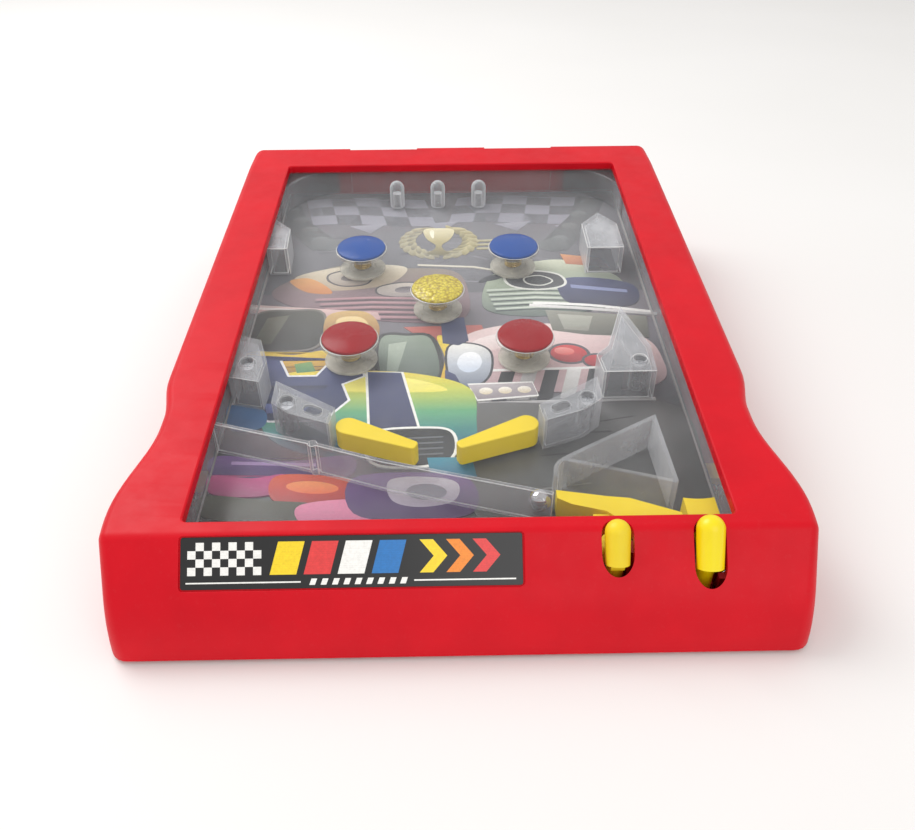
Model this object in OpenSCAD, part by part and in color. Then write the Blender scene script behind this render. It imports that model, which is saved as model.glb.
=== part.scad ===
// Table-top pinball game with a moulded case, a clear playfield tray and spring-return controls.
// X runs to the right, Y to the rear and Z up. The origin is under the middle, on the table.
// The playfield and everything on it is drawn in the deck's own frame and tilted as one.

/* [Deck] */
// Slope of the deck down towards the player, degrees
tilt = 5; // [4:0.5:6]
// Width of the window opening
win_w = 200; // [190:1:240]
// Length of the window opening, along the slope
win_l = 298; // [290:1:360]
// Depth of the playing surface under the deck
floor_drop = 22.5; // [21:0.5:25]
// Height of the middle of the deck over the table
deck_z = 55; // [53:0.5:66]

/* [Case] */
// Width of the case on each side of the window
side_frame = 25.5; // [24:0.5:31]
// Length of the case behind the window
rear_frame = 30; // [28:1:38]
// Level strip between the window and the apron
front_rim = 6.5; // [6:0.5:9]
// Length of the flat part of the apron, along its slope
land_l = 20.5; // [19:0.5:25]
// Radius of the apron's rounded nose
apron_r = 41; // [36:1:50]
// Thickness of the case walls
wall = 2.8; // [2:0.1:3.4]
// How far the sides draw in at the hand grips
waist_in = 4; // [0:0.5:5]
// How far the sides flare out in front of the grips
flare_out = 4.2; // [2:0.2:6]
// Thickness of the base plate
base_t = 2.6; // [2:0.1:3.2]
// Height of the feet under the case
foot_h = 1.6; // [1:0.1:2.5]

/* [Playfield] */
// Thickness of the clear window
pane_t = 1.8; // [1.2:0.1:2.4]
// Thickness of the clear tray's floor
tray_t = 1.6; // [1.2:0.1:2.2]
// Thickness of the clear walls and guides
guide_t = 1.8; // [1.4:0.1:2.2]
// Thickness of the printed card
card_t = 0.6; // [0.3:0.1:1]
// Diameter of the ball
ball_d = 9.5; // [8:0.5:10]
// Diameter of a bumper's coloured cap
cap_d = 26.5; // [22:0.5:30]
// Diameter of the clear pegs across the top
peg_d = 9; // [7:0.5:11]

/* [Flippers] */
// Length of a flipper, from its pivot to the centre of its tip
flip_l = 30; // [26:0.5:32]
// Radius of a flipper's pivot end
flip_r = 5.2; // [4.5:0.1:5.6]
// Height of the flippers and the feed arm
flip_h = 10; // [8:0.5:11]
// How far a flipper droops at rest, degrees
flip_droop = 24.5; // [20:0.5:27]
// How far a flipper swings, degrees
flip_swing = 45; // [30:1:45]
// Diameter of a flipper's shaft
shaft_d = 5; // [4:0.1:5.6]
// Length of a crank, from the shaft to its pin
crank_l = 10; // [9:0.5:11]
// Diameter of a side button
btn_d = 14; // [12:0.5:15]

/* [Levers] */
// Width of the two slots in the apron
slot_w = 11.6; // [11.2:0.1:14]
// Diameter of the levers' finger tips
knob_d = 9.4; // [8:0.1:10]
// Travel of the plunger
plunge = 6.5; // [5:0.5:7]
// Lean of the two finger levers, back from the deck's normal [deg]
knob_lean = 32; // [26:1:34]
// Diameter of the feed lever's pin
pin_d = 3; // [2.5:0.1:3.4]

/* [Hidden] */
$fn = 64;

gap = 0.3;               // between pieces that move past each other
fit = 0.05;              // radial clearance of a shaft in its bore
half_w = win_w / 2 + side_frame;
base_top = foot_h + base_t;

// deck frame: X right, Y up the slope, Z out of the deck, zero in the middle of the window
front_y = -win_l / 2;                       // window's front edge
land_y = front_y - front_rim;               // where the apron starts to fall
nose_y = land_y - land_l * cos(45) + apron_r * cos(45);
nose_z = -land_l * sin(45) - apron_r * sin(45);
reach_front = apron_r - nose_y * cos(tilt) + nose_z * sin(tilt);
reach_rear = (win_l / 2 + rear_frame) * cos(tilt);
body_l = reach_front + reach_rear;
win_cy = body_l / 2 - reach_rear;
pane_z = -wall - 1.4;                       // top of the window pane
wall_top = pane_z - pane_t - 0.2;           // top of the clear walls
floor_z = -floor_drop;
under_z = floor_z - tray_t;                 // underside of the tray
card_z = under_z - card_t;                  // underside of the card
tray_w = win_w + 10;                        // outside width of the tray
tray_rear = win_l / 2 + 11;                 // outside of the tray's rear wall
tray_front = front_y - 0.5;                 // outside of its front wall
arch_r = 40;                                // radius of the curved wall in the rear corners

// hand grips, in the base frame
waist_y = win_cy + front_y + 58;
waist_half = 3;
waist_run = 26;
flare_y = win_cy + front_y + 7;
nose_taper = 3;

// flippers and what turns them, in the deck frame
flip_mid = -8.4;                            // the pair is left of centre, beside the shooter lane
flip_half = 38;
flip_y = front_y + 65;
tip_r = 2.6;
flip_z = floor_z + 1;                       // underside of a flipper
crank_z = under_z - 4.6;                    // top of a crank
crank_t = 3;
crank_r = 5.5;
crank_pin_r = 1.5;
crank_hub_r = shaft_d / 2 - 0.6;            // stepped end of the shaft inside the crank
yoke_z = crank_z - crank_t - 0.5;           // top of a slider
yoke_t = 4;
btn_z = yoke_z - yoke_t / 2;
btn_travel = 2 * crank_l * sin(flip_swing / 2);
btn_y = flip_y - crank_l * (1 + cos(flip_swing / 2)) / 2;
waist_half_w = half_w - waist_in;
btn_spring_x = 20.5;

// levers
feed_x = 56;
pivot_y = front_y - 4.4;
pivot_z = floor_z + 6.5;
feed_slot = [front_y - 18.8, front_y - 2.6];
plunger_x = 88.8;
head_x = 92;
knob_y = front_y - 11.2;
knob_neck_r = 3.6;
plunger_slot = [knob_y - plunge - 4.3, front_y - 2.4];
arm_tip = [38, front_y + 24.4];
rod_z = under_z - 3;                        // top of the plunger's runner
rod_t = 6;

// bumpers
bumper_dx = 41.9;
blue_y = 62.5;
yellow_y = 20;
red_y = -23;
disc_r = cap_d / 2 - 0.6;
disc_t = 1.6;
stem_r = 3.5;
flange_z = wall_top - 5.6;                  // underside of the clear flange
flange_t = 1.8;

// ball against the guide rail's low end
rail = [[-tray_w / 2 + 2.2, front_y + 62], [-59, front_y + 48], [-30, front_y + 37], [36, front_y + 17.5]];
rail_dir = (rail[3] - rail[2]) / norm(rail[3] - rail[2]);
curl_x = 38;                                // wall that stops the ball at the rail's low end
ball_off = [-rail_dir[1], rail_dir[0]] * (ball_d / 2 + guide_t / 2 + gap);
ball_x = curl_x - guide_t / 2 - ball_d / 2 - gap;
ball_xy = [ball_x, rail[3][1] + (ball_x - ball_off[0] - rail[3][0]) * rail_dir[1] / rail_dir[0] + ball_off[1]];

// screws
boss_r = 4;
pilot_r = 1.45;
screw_r = 1.4;
bosses = [for (s = [-1, 1], y = [front_y + 14, 20, win_l / 2 + 9]) [s * (win_w / 2 + 13), y]];
feet_xy = [for (s = [-1, 1], y = [-1, 1]) [s * (half_w - 22), y * (body_l / 2 - 34)]];
foot_r = 7;
sling_screw = [flip_half + 27, front_y + 76.5];
mid_screw_left = [-95, -44];
mid_screw_right = [84, -46];
towers = [[flip_mid - sling_screw[0], sling_screw[1]], [flip_mid + sling_screw[0], sling_screw[1]],
    mid_screw_left, mid_screw_right];
posts = [[-88, 128], [0, 128], [84, 128], [-88, 40], [84, 30], [-28, 40], [-40, -62], [16, -62],
    [-88, -132], [-20, -136]];

function ease(t) = (1 - cos(180 * t)) / 2;
function half_at(y) =
    y > waist_y + waist_half + waist_run ? half_w
    : y > waist_y + waist_half
        ? half_w - waist_in * ease((waist_y + waist_half + waist_run - y) / waist_run)
    : y > waist_y - waist_half ? half_w - waist_in
    : y > flare_y ? half_w - waist_in
        + (waist_in + flare_out) * ease((waist_y - waist_half - y) / (waist_y - waist_half - flare_y))
    : half_w + flare_out - nose_taper * ease((flare_y - y) / (flare_y + body_l / 2));

// right-hand half of the case's plan, from rear to front, drawn in by w
rear_r = 9;
nose_r = 7;
function right_side(w) = let (rr = rear_r - w, nr = nose_r - w, ye = body_l / 2 - w,
        xr = half_w - w, xn = half_at(-body_l / 2) - w)
    concat([for (a = [90:-15:0]) [xr - rr + rr * cos(a), ye - rr + rr * sin(a)]],
        [for (y = [waist_y + 30:-4:-body_l / 2 + nose_r + 3]) [half_at(y) - w, y]],
        [for (a = [0:-15:-90]) [xn - nr + nr * cos(a), -ye + nr + nr * sin(a)]]);
function flip_x(pts) = [for (i = [len(pts) - 1:-1:0]) [-pts[i][0], pts[i][1]]];

module deck() translate([0, win_cy, deck_z]) rotate([tilt, 0, 0]) children();

// the case's outer form drawn in by w, from z0 up
module case_form(w, z0) {
    arc = [for (a = [135:3:180]) [nose_y + (apron_r - w) * cos(a), nose_z + (apron_r - w) * sin(a)]];
    intersection() {
        translate([0, 0, z0]) linear_extrude(2 * deck_z) polygon(concat(right_side(w), flip_x(right_side(w))));
        deck() translate([-2 * half_w, 0, 0]) rotate([90, 0, 90]) linear_extrude(4 * half_w)
            polygon(concat([[body_l, -w], [land_y + w * tan(22.5), -w]], arc,
                [[nose_y - apron_r + w, -2 * deck_z], [body_l, -2 * deck_z]]));
    }
}

module round_rect(w, l, r, h) {
    linear_extrude(h) {
        square([w - 2 * r, l], center = true);
        square([w, l - 2 * r], center = true);
        for (x = [-1, 1], y = [-1, 1]) translate([x * (w / 2 - r), y * (l / 2 - r)]) circle(r);
    }
}

// upright slot from the lever's front stop to its rear stop
module lever_slot(x, ends, w, z, h) translate([x, 0, z]) linear_extrude(h) {
    translate([-w / 2, ends[0] + w / 2]) square([w, ends[1] - ends[0] - w]);
    for (y = [ends[0] + w / 2, ends[1] - w / 2]) translate([0, y]) circle(w / 2);
}

// left-hand normal of the line from a to b
function side_of(a, b) = [a[1] - b[1], b[0] - a[0]] / norm(b - a);
// the line through pts moved d to its left, with mitred corners
function beside(pts, d, closed) = let (n = len(pts)) [for (i = [0:n - 1]) let (
        before = i > 0 || closed ? side_of(pts[(i + n - 1) % n], pts[i]) : side_of(pts[0], pts[1]),
        after = i < n - 1 || closed ? side_of(pts[i], pts[(i + 1) % n]) : side_of(pts[n - 2], pts[n - 1]))
    pts[i] + d * (before + after) / (1 + before * after)];
function turned(pts) = [for (i = [len(pts) - 1:-1:0]) pts[i]];

// clear wall of thickness guide_t along an open line of points
module guide(pts, z, h) translate([0, 0, z]) linear_extrude(h)
    polygon(concat(beside(pts, guide_t / 2, false), turned(beside(pts, -guide_t / 2, false))));

// closed clear block: a wall all round under a flat lid
module block(pts) {
    turn = side_of(pts[0], pts[1]) * (pts[2] - pts[1]) > 0 ? 1 : -1;
    translate([0, 0, floor_z]) difference() {
        linear_extrude(wall_top - floor_z) polygon(pts);
        translate([0, 0, -1]) linear_extrude(wall_top - lid_t - floor_z + 1) polygon(beside(pts, turn * guide_t, true));
    }
}
lid_t = 1.4;

// boss that takes a screw down through the tray into a post of the base
module tower(p) translate([p[0], p[1], floor_z]) cylinder(r = boss_r, h = wall_top - floor_z - lid_t / 2);
module tower_hole(p) {
    translate([p[0], p[1], card_z - 1]) cylinder(r = screw_r + 0.2, h = 40);
    translate([p[0], p[1], wall_top - 5]) cylinder(r = 3.1, h = 10);
}

/* ---- case ---- */

module upper_shell() color([0.85, 0.07, 0.13]) difference() {
    union() {
        difference() {
            case_form(0, foot_h);
            case_form(wall, 0);
        }
        intersection() {
            case_form(wall / 2, base_top);
            union() {
                deck() for (p = bosses) translate([p[0], p[1], -2 * deck_z]) cylinder(r = boss_r, h = 2 * deck_z);
                deck() translate([0, 0, pane_z - pane_t]) round_rect(win_w + 14, win_l + 13, 5, 8);
                deck() for (s = [-1, 1]) translate([s * header_x - header_w / 2 - 2, win_l / 2 + rear_frame
                    - header_d - 2, -header_h - 2]) cube([header_w + 4, header_d + 20, header_h + 4]);
            }
        }
    }
    deck() translate([0, 0, -20]) round_rect(win_w, win_l, 2, 40);
    deck() translate([0, 0, pane_z - pane_t - 1]) round_rect(win_w + 8.4, win_l + 5.4, 3, pane_t + 1);
    deck() lever_slot(feed_x, feed_slot, slot_w, -28, 40);
    deck() lever_slot(plunger_x, plunger_slot, slot_w, -28, 40);
    deck() for (s = [-1, 1]) translate([s * header_x - header_w / 2,
        win_l / 2 + rear_frame - header_d, -header_h]) cube([header_w, header_d + 20, header_h + 10]);
    deck() label_place() translate([0, 0, -label_sink]) round_rect(label_w + 1, label_l + 1, 1.5, 5);
    deck() for (s = [-1, 1]) translate([s * waist_half_w, btn_y, btn_z]) rotate([0, 90, 0])
        cylinder(r = btn_d / 2 + gap, h = 12, center = true);
    deck() for (p = bosses) translate([p[0], p[1], -2 * deck_z]) cylinder(r = pilot_r, h = 2 * deck_z - 12);
}
header_x = 43;
header_w = 43;
header_d = 7;
header_h = 9;
label_x = -38.4;
label_w = 121;
label_l = 18.4;
label_sink = 0.8;
label_t = 0.5;
module label_place() translate([label_x, land_y - land_l / 2 * cos(45), -land_l / 2 * sin(45)])
    rotate([45, 0, 0]) children();

module label_plate() color([0.08, 0.08, 0.1])
    deck() label_place() translate([0, 0, -label_sink]) round_rect(label_w, label_l, 1, label_t);

// everything the base carries stands up from its plate to a plane of the deck frame
module base_plate() color([0.72, 0.06, 0.1]) difference() {
    union() {
        intersection() {
            case_form(wall + gap, foot_h);
            translate([-half_w * 2, -body_l, foot_h]) cube([half_w * 4, body_l * 2, base_t]);
        }
        intersection() {
            translate([0, 0, foot_h + 1]) linear_extrude(2 * deck_z)
                square([2 * half_w, body_l - 20], center = true);
            deck() stands();
        }
    }
    deck() for (p = bosses) translate([p[0], p[1], -2 * deck_z]) cylinder(r = screw_r + 0.2, h = 2 * deck_z);
    for (p = feet_xy) translate([p[0], p[1], 0]) cylinder(r = foot_r + 0.1, h = foot_h + 0.8);
    deck() for (p = bosses) translate([p[0], p[1], screw_seat(p[1]) - 30]) cylinder(r = 3.2, h = 30);
    deck() for (p = towers) translate([p[0], p[1], card_z - 12]) cylinder(r = pilot_r, h = 20);
    deck() translate([feed_x, pivot_y, pivot_z]) rotate([0, 90, 0]) cylinder(r = pin_d / 2, h = 40, center = true);
}
// height in the deck frame of the seat of a screw head at y
function screw_seat(y) = (foot_h + 1.4 - deck_z - y * sin(tilt)) / cos(tilt);

// upright block from the base to height z1
module stand(x, y, w, l, z1) translate([x - w / 2, y - l / 2, z1 - deck_z]) cube([w, l, deck_z]);

module stands() {
    for (p = concat(posts, towers)) translate([p[0], p[1], card_z - deck_z]) cylinder(r = boss_r, h = deck_z);
    for (s = [-1, 1]) {
        // runner and side rails of a button's slider
        stand(s * (waist_half_w - 30), btn_y, 24, 6, yoke_z - yoke_t - gap);
        for (v = [-1, 1]) stand(s * (waist_half_w - 35.5), btn_y + v * 6.6, 16, 3, yoke_z - 1);
        stand(s * (waist_half_w - 5.2 - btn_spring_x - 1.5), btn_y - 11, 3, 9, btn_z + 4);
    }
    // plunger's runner, its rails and its spring post
    stand(plunger_x, front_y + 10, rod_t, 14, rod_z - rod_t - gap);
    for (s = [-1, 1]) stand(plunger_x + s * (rod_t / 2 + gap + 1), front_y - 5.5, 2, 8, rod_z - 1);
    stand(plunger_x + 12.2, front_y - 6.5, 8, 3, rod_z);
    // forks that hold the feed lever's pin
    for (s = [-1, 1]) stand(feed_x + s * 7, pivot_y, 3, 6, pivot_z + 3.5);
}

module rubber_feet() color([0.1, 0.1, 0.1])
    for (p = feet_xy) translate([p[0], p[1], 0]) cylinder(r = foot_r, h = foot_h + 0.8);

module case_screws() color([0.75, 0.75, 0.77]) deck() for (p = bosses) translate([p[0], p[1], screw_seat(p[1])]) {
    translate([0, 0, -1.2]) difference() {
        cylinder(r = 2.9, h = 1.2);
        translate([-2, -0.35, -1]) cube([4, 0.7, 1.6]);
        translate([-0.35, -2, -1]) cube([0.7, 4, 1.6]);
    }
    cylinder(r = screw_r, h = 12);
}

/* ---- window and playfield ---- */

module window_pane() color([0.9, 0.93, 0.95, 0.4])
    deck() translate([0, 0, pane_z - pane_t]) round_rect(win_w + 8, win_l + 5, 3, pane_t);

tray_cy = (tray_rear + tray_front) / 2;
tray_l = tray_rear - tray_front;
arm_cut = [arm_tip + [-0.8, 1], arm_tip + [20, -2.6], arm_tip + [28.5, -4], arm_tip + [47.3, -12],
    [86, tray_front - 1], [arm_tip[0] - 0.8, tray_front - 1]];

module playfield_cuts() {
    for (s = [-1, 1]) translate([flip_mid + s * flip_half, flip_y, card_z - 6]) cylinder(r = shaft_d / 2 + fit, h = 20);
    translate([0, 0, card_z - 6]) linear_extrude(20) polygon(arm_cut);
    translate([head_x - 4, tray_front - 1, card_z - 6]) cube([8, 24, 20]);
    for (p = towers) tower_hole(p);
}

module playfield_tray() color([0.88, 0.9, 0.93, 0.45]) deck() difference() {
    union() {
        difference() {
            translate([0, tray_cy, under_z]) round_rect(tray_w, tray_l, 4, wall_top - under_z);
            translate([0, tray_cy, floor_z]) round_rect(tray_w - 2 * guide_t, tray_l - 2 * guide_t, 2.4, 40);
        }
        for (s = [-1, 1]) guide([for (a = [0:10:90])
            [s * (tray_w / 2 - guide_t - arch_r + arch_r * cos(a)),
                tray_rear - guide_t - arch_r + arch_r * sin(a)]], floor_z, wall_top - floor_z);
        for (s = [-1, 1]) translate([flip_mid + s * flip_half, flip_y, under_z - 4]) cylinder(r = 4.5, h = 4.5);
    }
    playfield_cuts();
    translate([feed_x - 6.5, tray_front - 1, floor_z - 1]) cube([13, 4, 14]);
    translate([head_x - 7, tray_front - 1, floor_z - 1]) cube([14, 4, 14]);
}

module artwork_card() color([0.35, 0.35, 0.4]) deck() difference() {
    translate([0, tray_cy, card_z]) round_rect(tray_w, tray_l, 4, card_t);
    playfield_cuts();
    for (s = [-1, 1]) translate([flip_mid + s * flip_half, flip_y, card_z - 1]) cylinder(r = 4.8, h = 3);
}

module lane_pegs() color([0.9, 0.92, 0.95, 0.5]) deck() for (i = [-1:1])
    translate([flip_mid + i * 25.2, win_l / 2 - 10, floor_z]) rotate_extrude() {
        square([peg_d / 2, wall_top - floor_z - peg_d / 2]);
        intersection() {
            translate([0, wall_top - floor_z - peg_d / 2]) circle(peg_d / 2);
            square([peg_d, 60]);
        }
    }

sling = [[33.4, 90.5], [5.8, 71.5], [7.3, 61], [25, 68], [33.4, 75.5]];
module sling_block(s) color([0.86, 0.89, 0.93, 0.5]) deck() difference() {
    union() {
        block([for (p = sling) [flip_mid + s * (flip_half + p[0] - 0.3), front_y + p[1] - 1]]);
        tower(towers[s < 0 ? 0 : 1]);
    }
    tower_hole(towers[s < 0 ? 0 : 1]);
    // oval opening in the lid
    translate([flip_mid + s * (flip_half + 14.8), front_y + 69.5, wall_top - 3])
        rotate(s * 28) round_rect(9, 5, 2.45, 5);
}
module sling_block_left() sling_block(-1);
module sling_block_right() sling_block(1);

module deflector_rear_left() color([0.88, 0.9, 0.93, 0.5]) deck()
    block([[-101.5, 92], [-91, 80], [-90, 58], [-101.5, 58]]);
module deflector_rear_right() color([0.88, 0.9, 0.93, 0.5]) deck()
    block([[84, 95], [73, 82], [73, 55], [93, 55], [93, 82]]);
module deflector_mid_left() color([0.88, 0.9, 0.93, 0.5]) deck() difference() {
    union() {
        block([[-101.5, -24], [-91, -28], [-86, -44], [-87, -60], [-101.5, -56]]);
        tower(mid_screw_left);
    }
    tower_hole(mid_screw_left);
}
module deflector_mid_right() color([0.88, 0.9, 0.93, 0.5]) deck() difference() {
    union() {
        block([[81.5, -3], [90.5, -36], [90, -56], [66, -56], [64.5, -43], [71, -36]]);
        tower(mid_screw_right);
    }
    tower_hole(mid_screw_right);
}

module lower_guide_rail() color([0.88, 0.9, 0.93, 0.5]) deck() {
    guide(rail, floor_z, wall_top - floor_z);
    translate([rail[1][0], rail[1][1], floor_z]) cylinder(r = 2, h = wall_top - floor_z);
}

lane_apex = [82.5, front_y + 61.5];
lane_foot = [84, front_y + 23];
lane_left = [46, front_y + 39.2];
curl_r = 9;
module shooter_lane_guide() color([0.88, 0.9, 0.93, 0.5]) deck() {
    curl = [for (a = [120:15:180]) [curl_x + curl_r, front_y + 29] + curl_r * [cos(a), sin(a)]];
    guide(concat([lane_foot, lane_apex, lane_left], curl, [[curl_x, front_y + 26.5]]), floor_z, wall_top - floor_z);
    guide([[42.5, front_y + 36.3], lane_foot], floor_z, wall_top - floor_z);
}

module tower_screws() color([0.78, 0.78, 0.8]) deck() for (p = towers) translate([p[0], p[1], wall_top - 5]) {
    difference() {
        cylinder(r = 2.8, h = 1.6);
        translate([-2, -0.35, 1]) cube([4, 0.7, 1]);
        translate([-0.35, -2, 1]) cube([0.7, 4, 1]);
    }
    translate([0, 0, -(wall_top - 5 - card_z) - 8]) cylinder(r = screw_r, h = wall_top - 5 - card_z + 8);
}

/* ---- bumpers ---- */

module bumper_post(x, y) color([0.9, 0.91, 0.93, 0.55]) deck() translate([x, y, 0]) {
    translate([0, 0, floor_z]) cylinder(r = disc_r, h = disc_t);
    translate([0, 0, floor_z]) cylinder(r = stem_r, h = flange_z - floor_z);
    translate([0, 0, flange_z]) difference() {
        cylinder(r = cap_d / 2 + 1.5, h = flange_t + 1);
        translate([0, 0, flange_t]) cylinder(r = cap_d / 2 + 0.05, h = 2);
    }
}
module bumper_cap(x, y) deck() translate([x, y, flange_z + flange_t]) cap_dome();
cap_rise = wall_top - flange_z - flange_t - 0.3;
module cap_dome() {
    dome_r = (cap_d * cap_d / 4 + (cap_rise - 1) * (cap_rise - 1)) / (2 * (cap_rise - 1));
    rotate_extrude() intersection() {
        translate([0, cap_rise - dome_r]) circle(dome_r, $fn = 180);
        square([cap_d / 2, cap_rise + 1]);
    }
}
// close-wound ring of wire round the stem
spring_wire = 1.2;
module bumper_spring(x, y) color([0.75, 0.66, 0.42]) deck() translate([x, y, floor_z + disc_t])
    rotate_extrude() for (i = [0:3])
        translate([stem_r + spring_wire / 2 + 0.1, spring_wire * (0.5 + i * 0.98)]) circle(spring_wire / 2, $fn = 24);

left_x = flip_mid - bumper_dx;
right_x = flip_mid + bumper_dx;
module bumper_post_blue_left() bumper_post(left_x, blue_y);
module bumper_post_blue_right() bumper_post(right_x, blue_y);
module bumper_post_yellow() bumper_post(flip_mid, yellow_y);
module bumper_post_red_left() bumper_post(left_x, red_y);
module bumper_post_red_right() bumper_post(right_x, red_y);
module bumper_cap_blue_left() color([0.05, 0.25, 0.6]) bumper_cap(left_x, blue_y);
module bumper_cap_blue_right() color([0.05, 0.25, 0.6]) bumper_cap(right_x, blue_y);
module bumper_cap_yellow() color([0.9, 0.8, 0.15]) bumper_cap(flip_mid, yellow_y);
module bumper_cap_red_left() color([0.65, 0.05, 0.12]) bumper_cap(left_x, red_y);
module bumper_cap_red_right() color([0.65, 0.05, 0.12]) bumper_cap(right_x, red_y);
module bumper_spring_blue_left() bumper_spring(left_x, blue_y);
module bumper_spring_blue_right() bumper_spring(right_x, blue_y);
module bumper_spring_yellow() bumper_spring(flip_mid, yellow_y);
module bumper_spring_red_left() bumper_spring(left_x, red_y);
module bumper_spring_red_right() bumper_spring(right_x, red_y);

/* ---- flippers and their buttons ---- */

// s is -1 for the left-hand side and 1 for the right
module flipper(s) color([0.95, 0.85, 0.1]) deck() translate([flip_mid + s * flip_half, flip_y, 0]) {
    translate([0, 0, flip_z]) mirror([s > 0 ? 1 : 0, 0, 0]) rotate(-flip_droop) {
        side = acos((flip_r - tip_r) / flip_l);
        linear_extrude(flip_h) {
            circle(flip_r);
            translate([flip_l, 0]) circle(tip_r);
            polygon([flip_r * [cos(side), sin(side)], [flip_l, 0] + tip_r * [cos(side), sin(side)],
                [flip_l, 0] + tip_r * [cos(side), -sin(side)], flip_r * [cos(side), -sin(side)]]);
        }
    }
    translate([0, 0, crank_z]) cylinder(d = shaft_d, h = flip_z - crank_z);
    translate([0, 0, crank_z - crank_t]) cylinder(r = crank_hub_r, h = crank_t);
}
module flipper_left() flipper(-1);
module flipper_right() flipper(1);

module flipper_crank(s) color([0.92, 0.92, 0.9]) deck() translate([flip_mid + s * flip_half, flip_y, crank_z - crank_t])
    rotate(-90 + s * flip_swing / 2) difference() {
        union() {
            cylinder(r = crank_r, h = crank_t);
            translate([0, -3.2, 0]) cube([crank_l, 6.4, crank_t]);
            translate([crank_l, 0, 0]) cylinder(r = 3.2, h = crank_t);
            translate([crank_l, 0, -yoke_t - 0.5]) cylinder(r = crank_pin_r, h = yoke_t + 1);
        }
        translate([0, 0, -1]) cylinder(r = crank_hub_r + 0.02, h = crank_t + 2);
    }
module flipper_crank_left() flipper_crank(-1);
module flipper_crank_right() flipper_crank(1);

module crank_screw(s) color([0.75, 0.75, 0.77]) deck()
    translate([flip_mid + s * flip_half, flip_y, crank_z - crank_t - 1.3]) difference() {
        cylinder(r = 2.7, h = 1.3);
        translate([-2, -0.35, -0.1]) cube([4, 0.7, 0.8]);
    }
module crank_screw_left() crank_screw(-1);
module crank_screw_right() crank_screw(1);

yoke_w = 9.6;
flange_x = waist_half_w - wall - 0.3 - 2;       // inner face of a button's flange
module button(s) color([0.95, 0.85, 0.1]) deck() mirror([s > 0 ? 0 : 1, 0, 0]) {
    // drawn for the right-hand side, X outwards
    pivot = s * flip_mid + flip_half;
    pin_x = pivot + crank_l * sin(flip_swing / 2);
    slot_l = crank_l * (1 - cos(flip_swing / 2)) + 2 * (crank_pin_r + gap);
    translate([flange_x, btn_y, btn_z]) rotate([0, 90, 0]) difference() {
        cylinder(d = btn_d, h = waist_half_w + btn_travel - flange_x);
        translate([0, 0, waist_half_w + btn_travel - flange_x + 38.5]) sphere(r = 40, $fn = 120);
    }
    translate([flange_x, btn_y - 16, btn_z - 6.2]) cube([2, 24, 12.4]);
    difference() {
        translate([pin_x - crank_pin_r - gap - 2.5, btn_y - yoke_w / 2, yoke_z - yoke_t])
            cube([flange_x - pin_x + crank_pin_r + gap + 3.5, yoke_w, yoke_t]);
        translate([pin_x, btn_y, yoke_z - yoke_t - 1]) linear_extrude(yoke_t + 2) {
            square([2 * (crank_pin_r + gap), slot_l - 2 * (crank_pin_r + gap)], center = true);
            for (v = [-1, 1]) translate([0, v * (slot_l / 2 - crank_pin_r - gap)]) circle(crank_pin_r + gap);
        }
    }
}
module button_left() button(-1);
module button_right() button(1);

// plain coil drawn as a sleeve of rings, along X from the origin
module coil(r, wire, l, turns) rotate([0, 90, 0]) rotate_extrude()
    for (i = [0:turns - 1]) {
        z = wire / 2 + i * (l - wire) / (turns - 1);
        translate([r - wire / 2, z]) circle(wire / 2, $fn = 16);
        if (i > 0) translate([r - wire * 0.8, z - (l - wire) / (turns - 1)])
            square([wire * 0.6, (l - wire) / (turns - 1)]);
    }
module button_spring(s) color([0.8, 0.8, 0.82]) deck() mirror([s > 0 ? 0 : 1, 0, 0])
    translate([flange_x - btn_spring_x + 0.2, btn_y - 11, btn_z]) coil(3.5, 0.7, btn_spring_x - 0.4, 9);
module button_spring_left() button_spring(-1);
module button_spring_right() button_spring(1);

/* ---- plunger ---- */

head_y = [front_y + 7, front_y + 18];
module plunger_carriage() color([0.95, 0.83, 0.1]) deck() difference() {
    union() {
        // head with a hollowed face, its stem, and the runner under the floor
        translate([head_x - 6, head_y[0], flip_z]) cube([12, head_y[1] - head_y[0], flip_h + 1.5]);
        translate([head_x - 3, head_y[0] + 1, rod_z - 1]) cube([6, head_y[1] - head_y[0] - 2, flip_z - rod_z + 2]);
        translate([plunger_x - rod_t / 2, knob_y - 3, rod_z - rod_t]) cube([rod_t, head_y[1] - knob_y, rod_t]);
        translate([plunger_x - rod_t / 2, head_y[0] + 2, rod_z - rod_t]) cube([rod_t / 2 + 16.5, 3, rod_t]);
        translate([plunger_x, knob_y, rod_z - 2]) cylinder(r = 2.6, h = 12);
    }
    translate([head_x, head_y[1] + 23, flip_z - 1]) cylinder(r = 24, h = 20);
}
module finger(r_top, r_foot, h) rotate_extrude() {
    polygon([[0, 0], [r_foot, 0], [r_top, h - r_top], [0, h - r_top]]);
    intersection() {
        translate([0, h - r_top]) circle(r_top);
        translate([0, h - r_top]) square([r_top, r_top]);
    }
}
// finger that leans back from the deck's normal, with its dome centred on p and a flat foot len below it
module leaning(p, r, len) translate(p) rotate([-knob_lean, 0, 0]) translate([0, 0, -len]) finger(r, r - 0.1, len + r);
module plunger_knob() color([0.98, 0.88, 0.05]) deck() difference() {
    union() {
        leaning([plunger_x, front_y - 7.9, 0.3], knob_d / 2 + 0.4, 14.2);
        translate([plunger_x, knob_y, rod_z + gap]) cylinder(r = knob_neck_r, h = -rod_z - 8.8);
    }
    translate([plunger_x, knob_y, rod_z - 1]) cylinder(r = 2.6, h = 11 + gap);
}
plunger_spring_l = head_y[0] + 2 - (front_y - 5);
module plunger_spring() color([0.8, 0.8, 0.82]) deck()
    translate([plunger_x + 12.2, head_y[0] + 1.8, rod_z - rod_t / 2]) rotate([0, 0, -90]) coil(3, 0.7, plunger_spring_l - 0.4, 7);

/* ---- ball feed ---- */

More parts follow.
